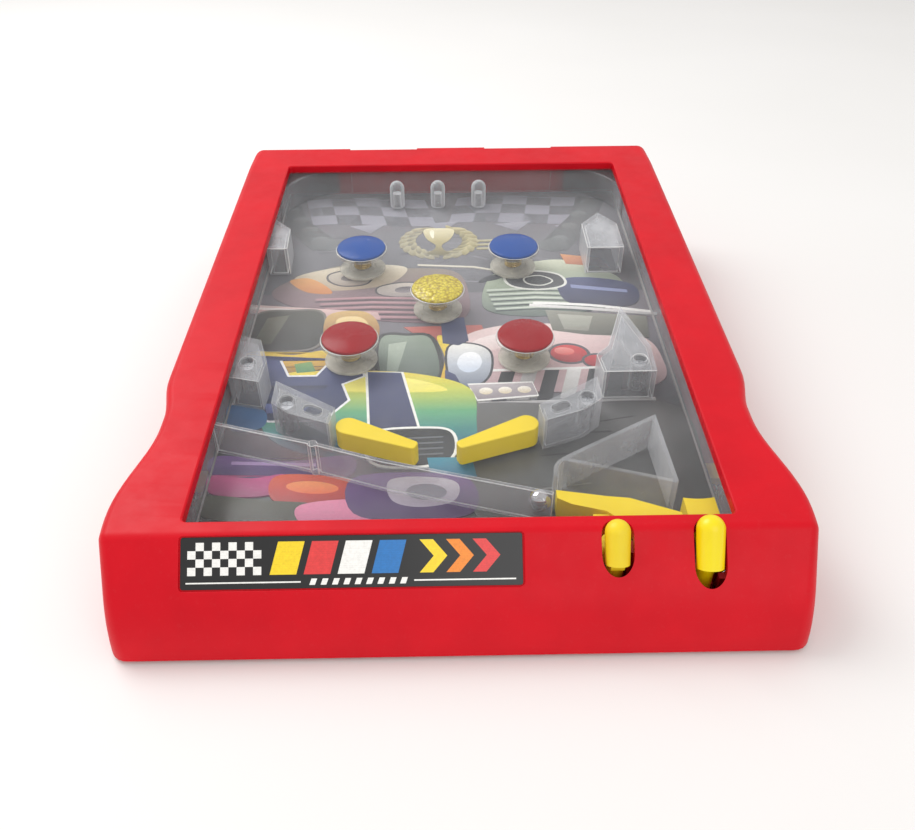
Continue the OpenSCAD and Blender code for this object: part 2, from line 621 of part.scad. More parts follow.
module feed_lever() color([0.98, 0.88, 0.05]) deck() {
    difference() {
        union() {
            translate([feed_x - 5, pivot_y, pivot_z]) rotate([0, 90, 0]) cylinder(r = 3.6, h = 10);
            // leg back to the arm, and the arm across the front of the playfield
            translate([feed_x - 5, pivot_y, pivot_z - 3]) cube([10, 17, 6]);
            translate([0, 0, flip_z]) linear_extrude(flip_h) polygon([arm_tip, arm_tip + [19, -3.7],
                arm_tip + [28, -4.9], arm_tip + [46.5, -12.9], arm_tip + [46.5, -15.9],
                arm_tip + [22, -15.4], arm_tip + [18, -11.6], arm_tip + [5.3, -7.7], arm_tip + [0, -4.3]]);
            // web from the pin's boss up to the finger tip
            translate([feed_x, 0, 0]) rotate([90, 0, 90]) translate([0, 0, -2.5]) linear_extrude(5)
                polygon([[pivot_y + 3, pivot_z], [pivot_y - 3, pivot_z - 2], [front_y - 15.5, pivot_z + 3.5],
                    [front_y - 15, pivot_z + 7], [front_y - 8, pivot_z + 10]]);
            // pad that the spring pushes on
            translate([feed_x, feed_spring_y, pivot_z - 3.2]) cylinder(r = 3.2, h = 8);
        }
        translate([feed_x, pivot_y, pivot_z]) rotate([0, 90, 0]) cylinder(r = pin_d / 2 + fit, h = 30, center = true);
    }
    leaning([feed_x, front_y - 7.6, -0.9], knob_d / 2 - 0.1, 11.8);
}
module feed_pin() color([0.8, 0.8, 0.82]) deck() translate([feed_x - 9, pivot_y, pivot_z]) rotate([0, 90, 0])
    cylinder(d = pin_d, h = 18);
feed_spring_y = front_y - 10.8;
feed_spring_foot = (base_top - deck_z - feed_spring_y * sin(tilt)) / cos(tilt) + 0.4;
module feed_spring() color([0.8, 0.8, 0.82]) deck()
    translate([feed_x, feed_spring_y, pivot_z - 3.2]) rotate([0, 90, 0])
        coil(3, 0.7, pivot_z - 3.2 - feed_spring_foot, 7);

module steel_ball() color([0.8, 0.8, 0.82]) deck()
    translate([ball_xy[0], ball_xy[1], floor_z + 0.1 + ball_d / 2]) sphere(d = ball_d);

upper_shell();
base_plate();
window_pane();
playfield_tray();
artwork_card();
label_plate();
lane_pegs();
sling_block_left();
sling_block_right();
deflector_rear_left();
deflector_rear_right();
deflector_mid_left();
deflector_mid_right();
lower_guide_rail();
shooter_lane_guide();
bumper_post_blue_left();
bumper_post_blue_right();
bumper_post_yellow();
bumper_post_red_left();
bumper_post_red_right();
bumper_cap_blue_left();
bumper_cap_blue_right();
bumper_cap_yellow();
bumper_cap_red_left();
bumper_cap_red_right();
bumper_spring_blue_left();
bumper_spring_blue_right();
bumper_spring_yellow();
bumper_spring_red_left();
bumper_spring_red_right();
flipper_left();
flipper_right();
flipper_crank_left();
flipper_crank_right();
crank_screw_left();
crank_screw_right();
button_left();
button_right();
button_spring_left();
button_spring_right();
plunger_carriage();
plunger_knob();
plunger_spring();
feed_lever();
feed_pin();
feed_spring();
steel_ball();
rubber_feet();
case_screws();
tower_screws();
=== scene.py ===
"""Looks of a table-top pinball game: moulded case, clear playfield, printed card, bumpers and levers."""
import math
import random

import bmesh
import bpy
from mathutils import Matrix, Vector, noise


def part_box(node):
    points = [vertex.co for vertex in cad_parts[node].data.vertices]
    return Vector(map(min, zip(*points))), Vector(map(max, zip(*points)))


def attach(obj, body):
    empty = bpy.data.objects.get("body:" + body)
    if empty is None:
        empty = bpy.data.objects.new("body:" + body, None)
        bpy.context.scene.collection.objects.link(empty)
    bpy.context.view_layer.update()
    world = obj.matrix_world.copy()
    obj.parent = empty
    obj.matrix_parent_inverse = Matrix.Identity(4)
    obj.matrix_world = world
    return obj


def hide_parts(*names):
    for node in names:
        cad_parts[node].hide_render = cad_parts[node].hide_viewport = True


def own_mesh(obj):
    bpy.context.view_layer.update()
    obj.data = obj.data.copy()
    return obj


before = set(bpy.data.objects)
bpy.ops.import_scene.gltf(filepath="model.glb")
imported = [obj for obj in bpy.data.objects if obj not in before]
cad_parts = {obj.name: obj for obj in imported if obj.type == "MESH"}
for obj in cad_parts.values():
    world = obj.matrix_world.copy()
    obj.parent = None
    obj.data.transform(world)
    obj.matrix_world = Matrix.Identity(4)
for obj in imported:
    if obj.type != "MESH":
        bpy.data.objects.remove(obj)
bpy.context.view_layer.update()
random.seed(11)

# Sizes in mm. Heights on the deck count from its top face, and y from the window's middle.
MM = 0.001
TILT = math.radians(5)
WIN_W, WIN_L = 200, 298
FRONT_Y = -WIN_L / 2
REAR_Y = WIN_L / 2 + 30
HALF_W = WIN_W / 2 + 25.5
# the apron that slopes down at 45 degrees before the deck, and the round nose below it
LAND_Y = FRONT_Y - 6.5
LAND_L = 20.5
NOSE_R = 41
WALL = 2.8
FOOT_H = 1.6
# the window's top face, the tray's floor and the card below it
PANE_Z = -WALL - 1.4
PANE_T = 1.8
WALL_TOP = PANE_Z - PANE_T - 0.2
FLOOR_Z = -22.5
UNDER_Z = FLOOR_Z - 1.6
CARD_Z = UNDER_Z - 0.6
NOSE_Y = LAND_Y - LAND_L * math.cos(math.pi / 4) + NOSE_R * math.cos(math.pi / 4)
NOSE_Z = -(LAND_L + NOSE_R) * math.sin(math.pi / 4)
REACH_FRONT = NOSE_R - NOSE_Y * math.cos(TILT) + NOSE_Z * math.sin(TILT)
REACH_REAR = REAR_Y * math.cos(TILT)
BODY_L = REACH_FRONT + REACH_REAR
WIN_CY = BODY_L / 2 - REACH_REAR
DECK_Z = 55
FLIP_MID, FLIP_HALF, FLIP_Y = -8.4, 38, FRONT_Y + 65
BUTTON_Y, BUTTON_Z = FLIP_Y - 9.62, UNDER_Z - 10.1
HEADER_X, HEADER_W, HEADER_L = 43, 43, 7
SLOT_W = 11.6
FEED_X, FEED_SLOT = 56, (FRONT_Y - 18.8, FRONT_Y - 2.6)
PLUNGER_X, PLUNGER_SLOT = 88.8, (FRONT_Y - 22, FRONT_Y - 2.4)
BOSSES = [(s * (WIN_W / 2 + 13), y) for s in (-1, 1) for y in (FRONT_Y + 14, 20, WIN_L / 2 + 9)]
LABEL_W, LABEL_H, LABEL_SUNK = 121, 18.4, 0.8

DECK = Matrix.Translation((0, WIN_CY * MM, DECK_Z * MM)) @ Matrix.Rotation(TILT, 4, "X")
TABLE = Matrix.Identity(4)


def at(x, y, z, turn=0, axis="Y"):
    """A place on the deck, in mm, turned about one of its axes."""
    return DECK @ Matrix.Translation(Vector((x, y, z)) * MM) @ Matrix.Rotation(math.radians(turn), 4, axis)


LABEL = at(-38.4, LAND_Y - LAND_L / 2 * math.cos(math.pi / 4), -LAND_L / 2 * math.sin(math.pi / 4), 45, "X")


# ---- making shapes ----

def hold(obj):
    """Leaves obj the only selected and active object."""
    bpy.ops.object.select_all(action="DESELECT")
    obj.select_set(True)
    bpy.context.view_layer.objects.active = obj
    return obj


def editing(obj, *steps):
    """Runs the steps on all of obj's mesh in edit mode."""
    hold(obj)
    bpy.ops.object.mode_set(mode="EDIT")
    for step in steps:
        bpy.ops.mesh.select_all(action="SELECT")
        step()
    bpy.ops.object.mode_set(mode="OBJECT")
    return obj


def outward():
    bpy.ops.mesh.normals_make_consistent(inside=False)


def merge():
    bpy.ops.mesh.remove_doubles(threshold=2e-6)


def sketch(name, points, edges=(), faces=(), place=DECK):
    """Loose vertices at points in mm, with the edges or faces that join them."""
    mesh = bpy.data.meshes.new(name)
    mesh.from_pydata([place @ (Vector(p) * MM) for p in points], edges, faces)
    obj = bpy.data.objects.new(name, mesh)
    bpy.context.scene.collection.objects.link(obj)
    return hold(obj)


def prism(name, outline, low, high, place=DECK):
    """A flat outline in mm drawn up from low to high."""
    obj = sketch(name, [(x, y, low) for x, y in outline], faces=[range(len(outline))], place=place)
    lift = place.to_3x3() @ Vector((0, 0, (high - low) * MM))
    return editing(obj, lambda: bpy.ops.mesh.extrude_region_move(
        TRANSFORM_OT_translate={"value": lift}), outward)


def turned(name, profile, x=0, y=0, place=DECK, steps=56):
    """A profile of (radius, height) in mm turned about an upright axis through x, y."""
    obj = sketch(name, [(x + r, y, z) for r, z in profile],
                 edges=[(i, i + 1) for i in range(len(profile) - 1)], place=place)
    axis = place.to_3x3() @ Vector((0, 0, 1))
    middle = place @ Vector((x * MM, y * MM, 0))
    return editing(obj, lambda: bpy.ops.mesh.spin(steps=steps, angle=math.tau, center=middle, axis=axis),
                   merge, outward)


def stacked(name, rings, place=DECK):
    """A closed form through rings of (outline, height), all with the same number of points."""
    n = len(rings[0][0])
    points = [(x, y, z) for outline, z in rings for x, y in outline]
    faces = [[k * n + i, k * n + (i + 1) % n, (k + 1) * n + (i + 1) % n, (k + 1) * n + i]
             for k in range(len(rings) - 1) for i in range(n)]
    faces += [list(range(n)), [(len(rings) - 1) * n + i for i in range(n)]]
    return editing(sketch(name, points, faces=faces, place=place), outward)


def rounded(w, l, r, cx=0, cy=0, steps=6):
    """Outline of a rectangle with rounded corners."""
    out = []
    for k, (sx, sy) in enumerate([(1, 1), (-1, 1), (-1, -1), (1, -1)]):
        for i in range(steps + 1):
            a = math.pi / 2 * (k + i / steps)
            out.append((cx + sx * (w / 2 - r) + r * math.cos(a), cy + sy * (l / 2 - r) + r * math.sin(a)))
    return out


def lipped(name, w, l, r, depth, lip, cx=0, cy=0, place=DECK):
    """A cutter for a sunk or open rectangle whose rim is rounded over by lip."""
    rings = [(rounded(w, l, r, cx, cy), -depth)]
    for i in range(6):
        a = math.pi / 2 * i / 5
        grow = lip * (1 - math.cos(a))
        rings.append((rounded(w + 2 * grow, l + 2 * grow, r + grow, cx, cy), -lip * (1 - math.sin(a))))
    rings.append((rounded(w + 2 * lip, l + 2 * lip, r + lip, cx, cy), 4))
    return stacked(name, rings, place)


def worked(obj, kind, **settings):
    """Adds one modifier and applies it."""
    hold(obj)
    mod = obj.modifiers.new(kind, kind)
    for key, value in settings.items():
        setattr(mod, key, value)
    bpy.ops.object.modifier_apply(modifier=mod.name)
    return obj


def carve(obj, *tools, how="DIFFERENCE"):
    for tool in tools:
        worked(obj, "BOOLEAN", object=tool, operation=how, solver="EXACT")
        bpy.data.objects.remove(tool)
    return obj


def soften(obj, width, segments=2, angle=34, edge_finish=-1):
    """Rounds crisp edges by width mm, as a mould does; the new faces can take another of the finishes."""
    worked(obj, "BEVEL", width=width * MM, segments=segments, limit_method="ANGLE", material=edge_finish,
           angle_limit=math.radians(angle), use_clamp_overlap=True, harden_normals=False)
    return obj


def smooth(obj, angle=34):
    hold(obj)
    bpy.ops.object.shade_smooth_by_angle(angle=math.radians(angle))
    worked(obj, "WEIGHTED_NORMAL", keep_sharp=True)
    return obj


def copy_of(node, name):
    """A new piece with the node's own shape, its loose triangles merged."""
    obj = bpy.data.objects.new(name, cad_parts[node].data.copy())
    bpy.context.scene.collection.objects.link(obj)
    editing(obj, merge, lambda: bpy.ops.mesh.dissolve_limited(angle_limit=math.radians(0.6)))
    return obj


def joined(name, *objs):
    bpy.ops.object.select_all(action="DESELECT")
    for obj in objs:
        obj.select_set(True)
    bpy.context.view_layer.objects.active = objs[0]
    bpy.ops.object.join()
    objs[0].name = name
    return objs[0]


def paint(obj, *finishes):
    """Sets the finishes of obj; its faces keep their numbers."""
    if tuple(obj.data.materials) != finishes:
        obj.data.materials.clear()
        for finish in finishes:
            obj.data.materials.append(finish)
    return obj


def fit(obj, finish, slot, body, *nodes):
    """Gives a piece its finish and its body; slot, its place in the record, is not used."""
    paint(obj, *(finish if isinstance(finish, tuple) else (finish,)))
    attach(obj, body)
    if nodes:
        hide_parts(*nodes)
    return obj


# ---- finishes ----

def colour(code):
    """An sRGB hex colour as the linear values that the shaders use."""
    rgb = [int(code[i:i + 2], 16) / 255 for i in (0, 2, 4)]
    return [c / 12.92 if c <= 0.04045 else ((c + 0.055) / 1.055) ** 2.4 for c in rgb] + [1]


def add(mat, kind, settings=(), **links):
    """Adds a node with its settings; each link is socket=(node, output)."""
    node = mat.node_tree.nodes.new("ShaderNode" + kind)
    for key, value in dict(settings).items():
        if isinstance(key, str) and hasattr(node, key):
            setattr(node, key, value)
        else:
            node.inputs[key].default_value = value
    for key, (source, output) in links.items():
        socket = node.inputs[int(key[1:])] if key[0] == "i" and key[1:].isdigit() else node.inputs[
            key.replace("_", " ")]
        mat.node_tree.links.new(source.outputs[output], socket)
    return node


def start(name, shader):
    """A material with one Principled shader, its Object coordinates in mm, and nothing else."""
    mat = bpy.data.materials.new(name)
    mat.use_nodes = True
    mat.node_tree.nodes.clear()
    out = add(mat, "OutputMaterial")
    body = add(mat, "BsdfPrincipled", shader)
    mat.node_tree.links.new(body.outputs[0], out.inputs["Surface"])
    place = add(mat, "TexCoord")
    coord = add(mat, "Mapping", {"Scale": (1 / MM,) * 3}, Vector=(place, "Object"))
    return mat, body, coord


def join_to(mat, node, output, shader, socket):
    mat.node_tree.links.new(node.outputs[output], shader.inputs[socket])


def moulded(name, code, rough=0.34, ior=1.54, grain=0.5, depth=0.012, mottle=0.05, dusty=0.06, **more):
    """Moulded plastic: faint cloudy colour, patchy gloss, the grain of the mould and a little grey dust."""
    base = colour(code)
    mat, body, coord = start(name, {"IOR": ior, **more})
    cloud = add(mat, "TexNoise", {"Scale": 1 / 26, "Detail": 3, "Roughness": 0.55}, Vector=(coord, 0))
    tint = add(mat, "ValToRGB", (), Fac=(cloud, "Fac"))
    tint.color_ramp.elements[0].position = 0.3
    tint.color_ramp.elements[1].position = 0.7
    tint.color_ramp.elements[0].color = [c * (1 - mottle) for c in base[:3]] + [1]
    tint.color_ramp.elements[1].color = [min(1, c * (1 + mottle) + mottle * 0.02) for c in base[:3]] + [1]
    specks = add(mat, "TexNoise", {"Scale": 1 / 1.7, "Detail": 4, "Roughness": 0.7}, Vector=(coord, 0))
    spread = add(mat, "MapRange", {"From Min": 0.56, "From Max": 0.8, "To Max": dusty}, Value=(specks, "Fac"))
    dust = add(mat, "Mix", {"data_type": "RGBA", 7: colour("C9C2BC")}, i0=(spread, 0), i6=(tint, 0))
    join_to(mat, dust, 2, body, "Base Color")
    patch = add(mat, "TexNoise", {"Scale": 1 / 9, "Detail": 4, "Roughness": 0.6}, Vector=(coord, 0))
    gloss = add(mat, "MapRange", {"From Min": 0.3, "From Max": 0.7, "To Min": rough - 0.05,
                                  "To Max": rough + 0.07}, Value=(patch, "Fac"))
    join_to(mat, gloss, 0, body, "Roughness")
    pits = add(mat, "TexNoise", {"Scale": 1 / grain, "Detail": 2, "Roughness": 0.5}, Vector=(coord, 0))
    bump = add(mat, "Bump", {"Strength": 0.5, "Distance": depth * MM}, Height=(pits, "Fac"))
    join_to(mat, bump, 0, body, "Normal")
    return mat


def clear(name, code, face, edge, power, rough=0.1, scuffs=0.08, cloudy=0.0):
    """Clear styrene: nearly invisible face on, milky white where it is seen along its surface, that white being
    painted reflection.
    """
    mat, body, coord = start(name, {"IOR": 1.59, "Roughness": rough})
    cloud = add(mat, "TexNoise", {"Scale": 1 / 14, "Detail": 3, "Roughness": 0.6}, Vector=(coord, 0))
    tint = add(mat, "ValToRGB", (), Fac=(cloud, "Fac"))
    base = colour(code)
    tint.color_ramp.elements[0].color = [c * 0.9 for c in base[:3]] + [1]
    tint.color_ramp.elements[1].color = base
    join_to(mat, tint, 0, body, "Base Color")
    # the white base grows opaque towards a grazing view: painted reflection
    lean = add(mat, "LayerWeight", {"Blend": 0.5})
    sharp = add(mat, "Math", {"operation": "POWER", 1: power}, i0=(lean, "Facing"))
    painted_reflection = add(mat, "MapRange", {"To Min": face, "To Max": edge}, Value=(sharp, 0))
    hair = add(mat, "Mapping", {"Rotation": (0, 0, 0.6), "Scale": (1, 0.06, 1)}, Vector=(coord, 0))
    lines = add(mat, "TexNoise", {"Scale": 1 / 0.9, "Detail": 3, "Roughness": 0.6}, Vector=(hair, 0))
    marks = add(mat, "MapRange", {"From Min": 0.62, "From Max": 0.8, "To Max": scuffs}, Value=(lines, "Fac"))
    fog = add(mat, "MapRange", {"From Min": 0.35, "From Max": 0.75, "To Max": cloudy}, Value=(cloud, "Fac"))
    both = add(mat, "Math", {"operation": "ADD"}, i0=(marks, 0), i1=(fog, 0))
    total = add(mat, "Math", {"operation": "ADD", "use_clamp": True}, i0=(painted_reflection, 0), i1=(both, 0))
    join_to(mat, total, 0, body, "Alpha")
    wave = add(mat, "TexNoise", {"Scale": 1 / 5, "Detail": 2}, Vector=(coord, 0))
    bump = add(mat, "Bump", {"Strength": 0.3, "Distance": 0.05 * MM}, Height=(wave, "Fac"))
    join_to(mat, bump, 0, body, "Normal")
    return mat


def metal(name, code, rough, brush=None):
    """Bare metal with faint patches, and brushed lines along Z where brush is set."""
    mat, body, coord = start(name, {"Metallic": 1})
    base = colour(code)
    stretch = add(mat, "Mapping", {"Scale": brush or (1, 1, 1)}, Vector=(coord, 0))
    cloud = add(mat, "TexNoise", {"Scale": 1 / 2, "Detail": 4, "Roughness": 0.6}, Vector=(stretch, 0))
    tint = add(mat, "ValToRGB", (), Fac=(cloud, "Fac"))
    tint.color_ramp.elements[0].color = [c * 0.82 for c in base[:3]] + [1]
    tint.color_ramp.elements[1].color = base
    join_to(mat, tint, 0, body, "Base Color")
    gloss = add(mat, "MapRange", {"From Min": 0.3, "From Max": 0.7, "To Min": rough * 0.7,
                                  "To Max": rough * 1.5}, Value=(cloud, "Fac"))
    join_to(mat, gloss, 0, body, "Roughness")
    return mat


def printed(name, rough, coat):
    """Offset print: the ink colour that the mesh carries, lifted brighter as painted light, broken by a fine
    dot screen and paper fibre.
    """
    mat, body, coord = start(name, {"IOR": 1.5, "Coat Weight": coat, "Coat Roughness": 0.2})
    ink = add(mat, "Attribute", {"attribute_name": "ink"})
    fibre = add(mat, "TexNoise", {"Scale": 1 / 1.2, "Detail": 4, "Roughness": 0.65}, Vector=(coord, 0))
    # paper fibre varies the ink a little; the range sits above 1, so every ink is also lifted brighter as
    # painted light
    shade = add(mat, "MapRange", {"From Min": 0.25, "From Max": 0.75, "To Min": 1.02, "To Max": 1.3},
                Value=(fibre, "Fac"))
    dots = add(mat, "TexVoronoi", {"Scale": 1 / 0.55, "Randomness": 0.25}, Vector=(coord, 0))
    screen = add(mat, "MapRange", {"From Min": 0.0, "From Max": 0.6, "To Min": 1.05, "To Max": 0.93},
                 Value=(dots, "Distance"))
    both = add(mat, "Math", {"operation": "MULTIPLY"}, i0=(shade, 0), i1=(screen, 0))
    scaled = add(mat, "VectorMath", {"operation": "SCALE"}, i0=(ink, "Color"), Scale=(both, 0))
    join_to(mat, scaled, 0, body, "Base Color")
    gloss = add(mat, "MapRange", {"To Min": rough - 0.06, "To Max": rough + 0.08}, Value=(fibre, "Fac"))
    join_to(mat, gloss, 0, body, "Roughness")
    return mat


# ABS as it comes from a textured mould: strong warm red, satin, with a soft sheen on the edges
case_abs = moulded("moulded_abs_red", "D6001A", rough=0.42, grain=0.7, depth=0.02, mottle=0.06, dusty=0.02,
                   **{"Specular IOR Level": 0.2})
# the base is the same red, matt, with a coarser grain
base_abs = moulded("moulded_abs_red_matt", "B80A14", rough=0.55, grain=0.9, depth=0.03, dusty=0.04)
# the same red, darkened as painted shade where no light reaches, in the slots that take a header
painted_shade_abs = moulded("moulded_abs_red_painted_shade", "A30612", rough=0.6, grain=0.9, depth=0.03, dusty=0.02,
                    **{"Specular IOR Level": 0.1})
# yellow ABS of the moving parts on the playfield, dull after play
control_abs = moulded("moulded_abs_yellow", "F6D91E", rough=0.45, grain=0.45, depth=0.012, mottle=0.05)
# the finger levers are the same yellow with a smoother mould
lever_abs = moulded("polished_abs_yellow", "FFE600", rough=0.3, grain=0.6, depth=0.006, mottle=0.04, dusty=0.02)
# polystyrene caps, glossy and deep in colour
cap_blue = moulded("styrene_blue", "064A9E", rough=0.22, ior=1.59, grain=1.2, depth=0.01, mottle=0.06,
                   dusty=0.01, **{"Specular IOR Level": 0.16})
cap_red = moulded("styrene_red", "9E0010", rough=0.24, ior=1.59, grain=1.2, depth=0.01, mottle=0.07,
                  dusty=0.01, **{"Specular IOR Level": 0.16})
# nylon of the cranks, milky and waxy
crank_nylon = moulded("moulded_nylon", "E9E7DE", rough=0.45, ior=1.53, grain=0.6)
# moulded rubber of the feet, black and dusty
foot_rubber = moulded("black_rubber", "1B1B1C", rough=0.7, ior=1.5, grain=0.5, depth=0.03, dusty=0.12)
# injection-moulded clear styrene: the window is hardly seen, the thicker and more scuffed pieces look milkier,
# and each turns white towards a grazing view as painted reflection
window_clear = clear("styrene_window", "E6E9EC", face=0.012, edge=0.22, power=3, rough=0.07, scuffs=0.03,
                     cloudy=0.01)
tray_clear = clear("styrene_tray", "EEF0F6", face=0.03, edge=0.52, power=2.6, rough=0.12, scuffs=0.06,
                   cloudy=0.04)
guide_clear = clear("styrene_guides", "F1F3F8", face=0.06, edge=0.75, power=1.9, rough=0.1, scuffs=0.25,
                    cloudy=0.12)
# the pegs go fully white at their outlines: painted highlight
peg_clear = clear("styrene_pegs", "FAFBFF", face=0.08, edge=1.0, power=1.3, rough=0.1, scuffs=0.1, cloudy=0.1)
# light gathers in the edges of clear mouldings, so they look milky; here that is a painted highlight, a
# near-opaque white on the rounded edges
edge_highlight_clear = clear("styrene_edges_painted_highlight", "FFFFFF", face=0.62, edge=0.95, power=1.5, rough=0.15, scuffs=0.1,
                   cloudy=0.1)
post_clear = clear("styrene_bumpers", "F7F4EC", face=0.05, edge=0.62, power=2.2, rough=0.12, scuffs=0.12,
                   cloudy=0.08)
# the bumpers' feet are of a cloudy, slightly yellow grade
disc_clear = clear("cloudy_styrene", "F4F0E2", face=0.2, edge=0.62, power=2, rough=0.3, scuffs=0.2, cloudy=0.3)
# polished ball, zinc-plated screws, drawn spring wire bare and brassed: grey or warm glints
ball_steel = metal("polished_steel", "D9DADC", 0.09)
screw_steel = metal("zinc_plated_steel", "C9CBD0", 0.28)
spring_steel = metal("spring_wire", "C4C6CA", 0.25, brush=(1, 1, 0.2))
spring_brass = metal("brassed_wire", "C9B27A", 0.3, brush=(1, 1, 0.2))
# offset print under a satin varnish, and vinyl under a glossy one
card_ink = printed("printed_card_satin", 0.42, 0.15)
label_ink = printed("printed_vinyl_gloss", 0.3, 0.4)


def pebbled_lens():
    """Yellow styrene lens with the small raised pebbles of a lamp cap, painted lighter on each pebble and
    darker between them as light and shade; it glitters and is a little clear.
    """
    mat, body, coord = start("pebbled_styrene_yellow", {"IOR": 1.59, "Roughness": 0.16, "Coat Weight": 0.3})
    cells = add(mat, "TexVoronoi", {"Scale": 1 / 1.5}, Vector=(coord, 0))
    # bright yellow on the pebbles' tops, darker in the hollows between them: painted light and shade
    tint = add(mat, "ValToRGB", (), Fac=(cells, "Distance"))
    tint.color_ramp.elements[0].color = colour("FFF04A")
    tint.color_ramp.elements[1].color = colour("B39A10")
    tint.color_ramp.elements[1].position = 0.75
    join_to(mat, tint, 0, body, "Base Color")
    bump = add(mat, "Bump", {"Strength": 0.9, "Distance": 0.35 * MM, "invert": True},
               Height=(cells, "Distance"))
    join_to(mat, bump, 0, body, "Normal")
    return mat


cap_yellow = pebbled_lens()


# ---- the case ----

WAIST_Y, WAIST_HALF, WAIST_RUN = WIN_CY + FRONT_Y + 58, 3, 26
FLARE_Y, WAIST_IN, FLARE_OUT, NOSE_TAPER = WIN_CY + FRONT_Y + 7, 4, 4.2, 3


def ease(t):
    return (1 - math.cos(math.pi * t)) / 2


def half_at(y):
    """Half width of the case at y: straight, drawn in at the hand grips, then flared."""
    if y > WAIST_Y + WAIST_HALF + WAIST_RUN:
        return HALF_W
    if y > WAIST_Y + WAIST_HALF:
        return HALF_W - WAIST_IN * ease((WAIST_Y + WAIST_HALF + WAIST_RUN - y) / WAIST_RUN)
    if y > WAIST_Y - WAIST_HALF:
        return HALF_W - WAIST_IN
    if y > FLARE_Y:
        run = WAIST_Y - WAIST_HALF - FLARE_Y
        return HALF_W - WAIST_IN + (WAIST_IN + FLARE_OUT) * ease((WAIST_Y - WAIST_HALF - y) / run)
    return HALF_W + FLARE_OUT - NOSE_TAPER * ease((FLARE_Y - y) / (FLARE_Y + BODY_L / 2))


def case_stations(w):
    """The case's side view drawn in by w: (y, z, direction it faces, radius of the side edge)."""
    deck_n = (-math.sin(TILT), math.cos(TILT))
    deck_d = deck_n[0] * WIN_CY + deck_n[1] * DECK_Z - w
    rear_y, rear_r = BODY_L / 2 - w, 6 - w
    rear = (rear_y - rear_r, (deck_d - rear_r - deck_n[0] * (rear_y - rear_r)) / deck_n[1])
    out = [(rear_y, FOOT_H, 0, 6), (rear_y, rear[1] - 6, 0, 6)]
    for i in range(9):
        a = i / 8 * (math.pi / 2 + TILT)
        out.append((rear[0] + rear_r * math.cos(a), rear[1] + rear_r * math.sin(a), a, 6))
    # fold between the deck and the apron, rounded over
    fold_r = 5 - w
    ridge_y, ridge_z = LAND_Y + w * math.tan(math.pi / 8), -w
    set_in = fold_r * math.tan(math.pi / 8)
    fy, fz = ridge_y + set_in, ridge_z - fold_r
    fold = (WIN_CY + fy * math.cos(TILT) - fz * math.sin(TILT),
            DECK_Z + fy * math.sin(TILT) + fz * math.cos(TILT))
    a_deck, a_land = math.pi / 2 + TILT, math.pi * 3 / 4 + TILT
    first = rear[0]
    last = fold[0] + fold_r * math.cos(a_deck)
    count = 78
    for i in range(1, count):
        y = first + (last - first) * i / count
        edge = 4.2 + 1.8 * max(0, 1 - (first - y) / 20)
        out.append((y, (deck_d - deck_n[0] * y) / deck_n[1], a_deck, edge))
    for i in range(7):
        a = a_deck + (a_land - a_deck) * i / 6
        out.append((fold[0] + fold_r * math.cos(a), fold[1] + fold_r * math.sin(a), a, 4.2))
    nose = (WIN_CY + NOSE_Y * math.cos(TILT) - NOSE_Z * math.sin(TILT),
            DECK_Z + NOSE_Y * math.sin(TILT) + NOSE_Z * math.cos(TILT))
    r = NOSE_R - w
    here, there = out[-1], (nose[0] + r * math.cos(a_land), nose[1] + r * math.sin(a_land))
    for i in range(1, 5):
        t = i / 5
        out.append((here[0] + (there[0] - here[0]) * t, here[1] + (there[1] - here[1]) * t, a_land, 4.2 + t))
    a_end = math.pi - math.asin((FOOT_H - nose[1]) / r)
    for i in range(15):
        a = a_land + (a_end - a_land) * i / 14
        out.append((nose[0] + r * math.cos(a), nose[1] + r * math.sin(a), a, 5.2 + 1.8 * i / 14))
    return out


def case_skin(name, w, low):
    """The closed outer form of the case drawn in by w, down to the height low."""
    turn = [math.pi / 2 * i / 6 for i in range(7)]
    rows, feet = [], []
    for y, z, facing, edge in case_stations(w):
        edge = max(edge - w, 0.8)
        row = []
        for a in turn:
            sunk = edge * (1 - math.cos(a))
            py, pz = y - sunk * math.cos(facing), max(z - sunk * math.sin(facing), FOOT_H)
            row.append((half_at(py) - w - edge * (1 - math.sin(a)), py, pz))
        rows.append(row)
        feet.append((row[-1][0], row[-1][1], FOOT_H))
    points, faces = [], []
    strip = [[(-x, y, z) for x, y, z in reversed(row)] + row for row in rows]
    strip = [[(-f[0], f[1], f[2])] + s + [f] for s, f in zip(strip, feet)]
    strip[0] = [(x, y, FOOT_H) for x, y, z in strip[0]]
    n = len(strip[0])
    for s in strip:
        points += s
    for k in range(len(strip) - 1):
        faces += [[k * n + i, k * n + i + 1, (k + 1) * n + i + 1, (k + 1) * n + i] for i in range(n - 1)]
    obj = sketch(name, points, faces=faces, place=TABLE)

    def close():
        bpy.ops.mesh.dissolve_degenerate(threshold=1e-6)
        bpy.ops.mesh.select_all(action="DESELECT")
        bpy.ops.mesh.select_non_manifold(extend=False, use_wire=False, use_multi_face=False,
                                         use_non_contiguous=False, use_verts=False)
        if low < FOOT_H:
            bpy.ops.mesh.extrude_region_move(TRANSFORM_OT_translate={"value": (0, 0, (low - FOOT_H) * MM)})
        bpy.ops.mesh.edge_face_add()
    return editing(obj, merge, close, outward)


def slot_cutter(x, ends):
    return prism("slot", rounded(SLOT_W, ends[1] - ends[0], SLOT_W / 2 - 0.001, x, sum(ends) / 2, 10), -28, 12)


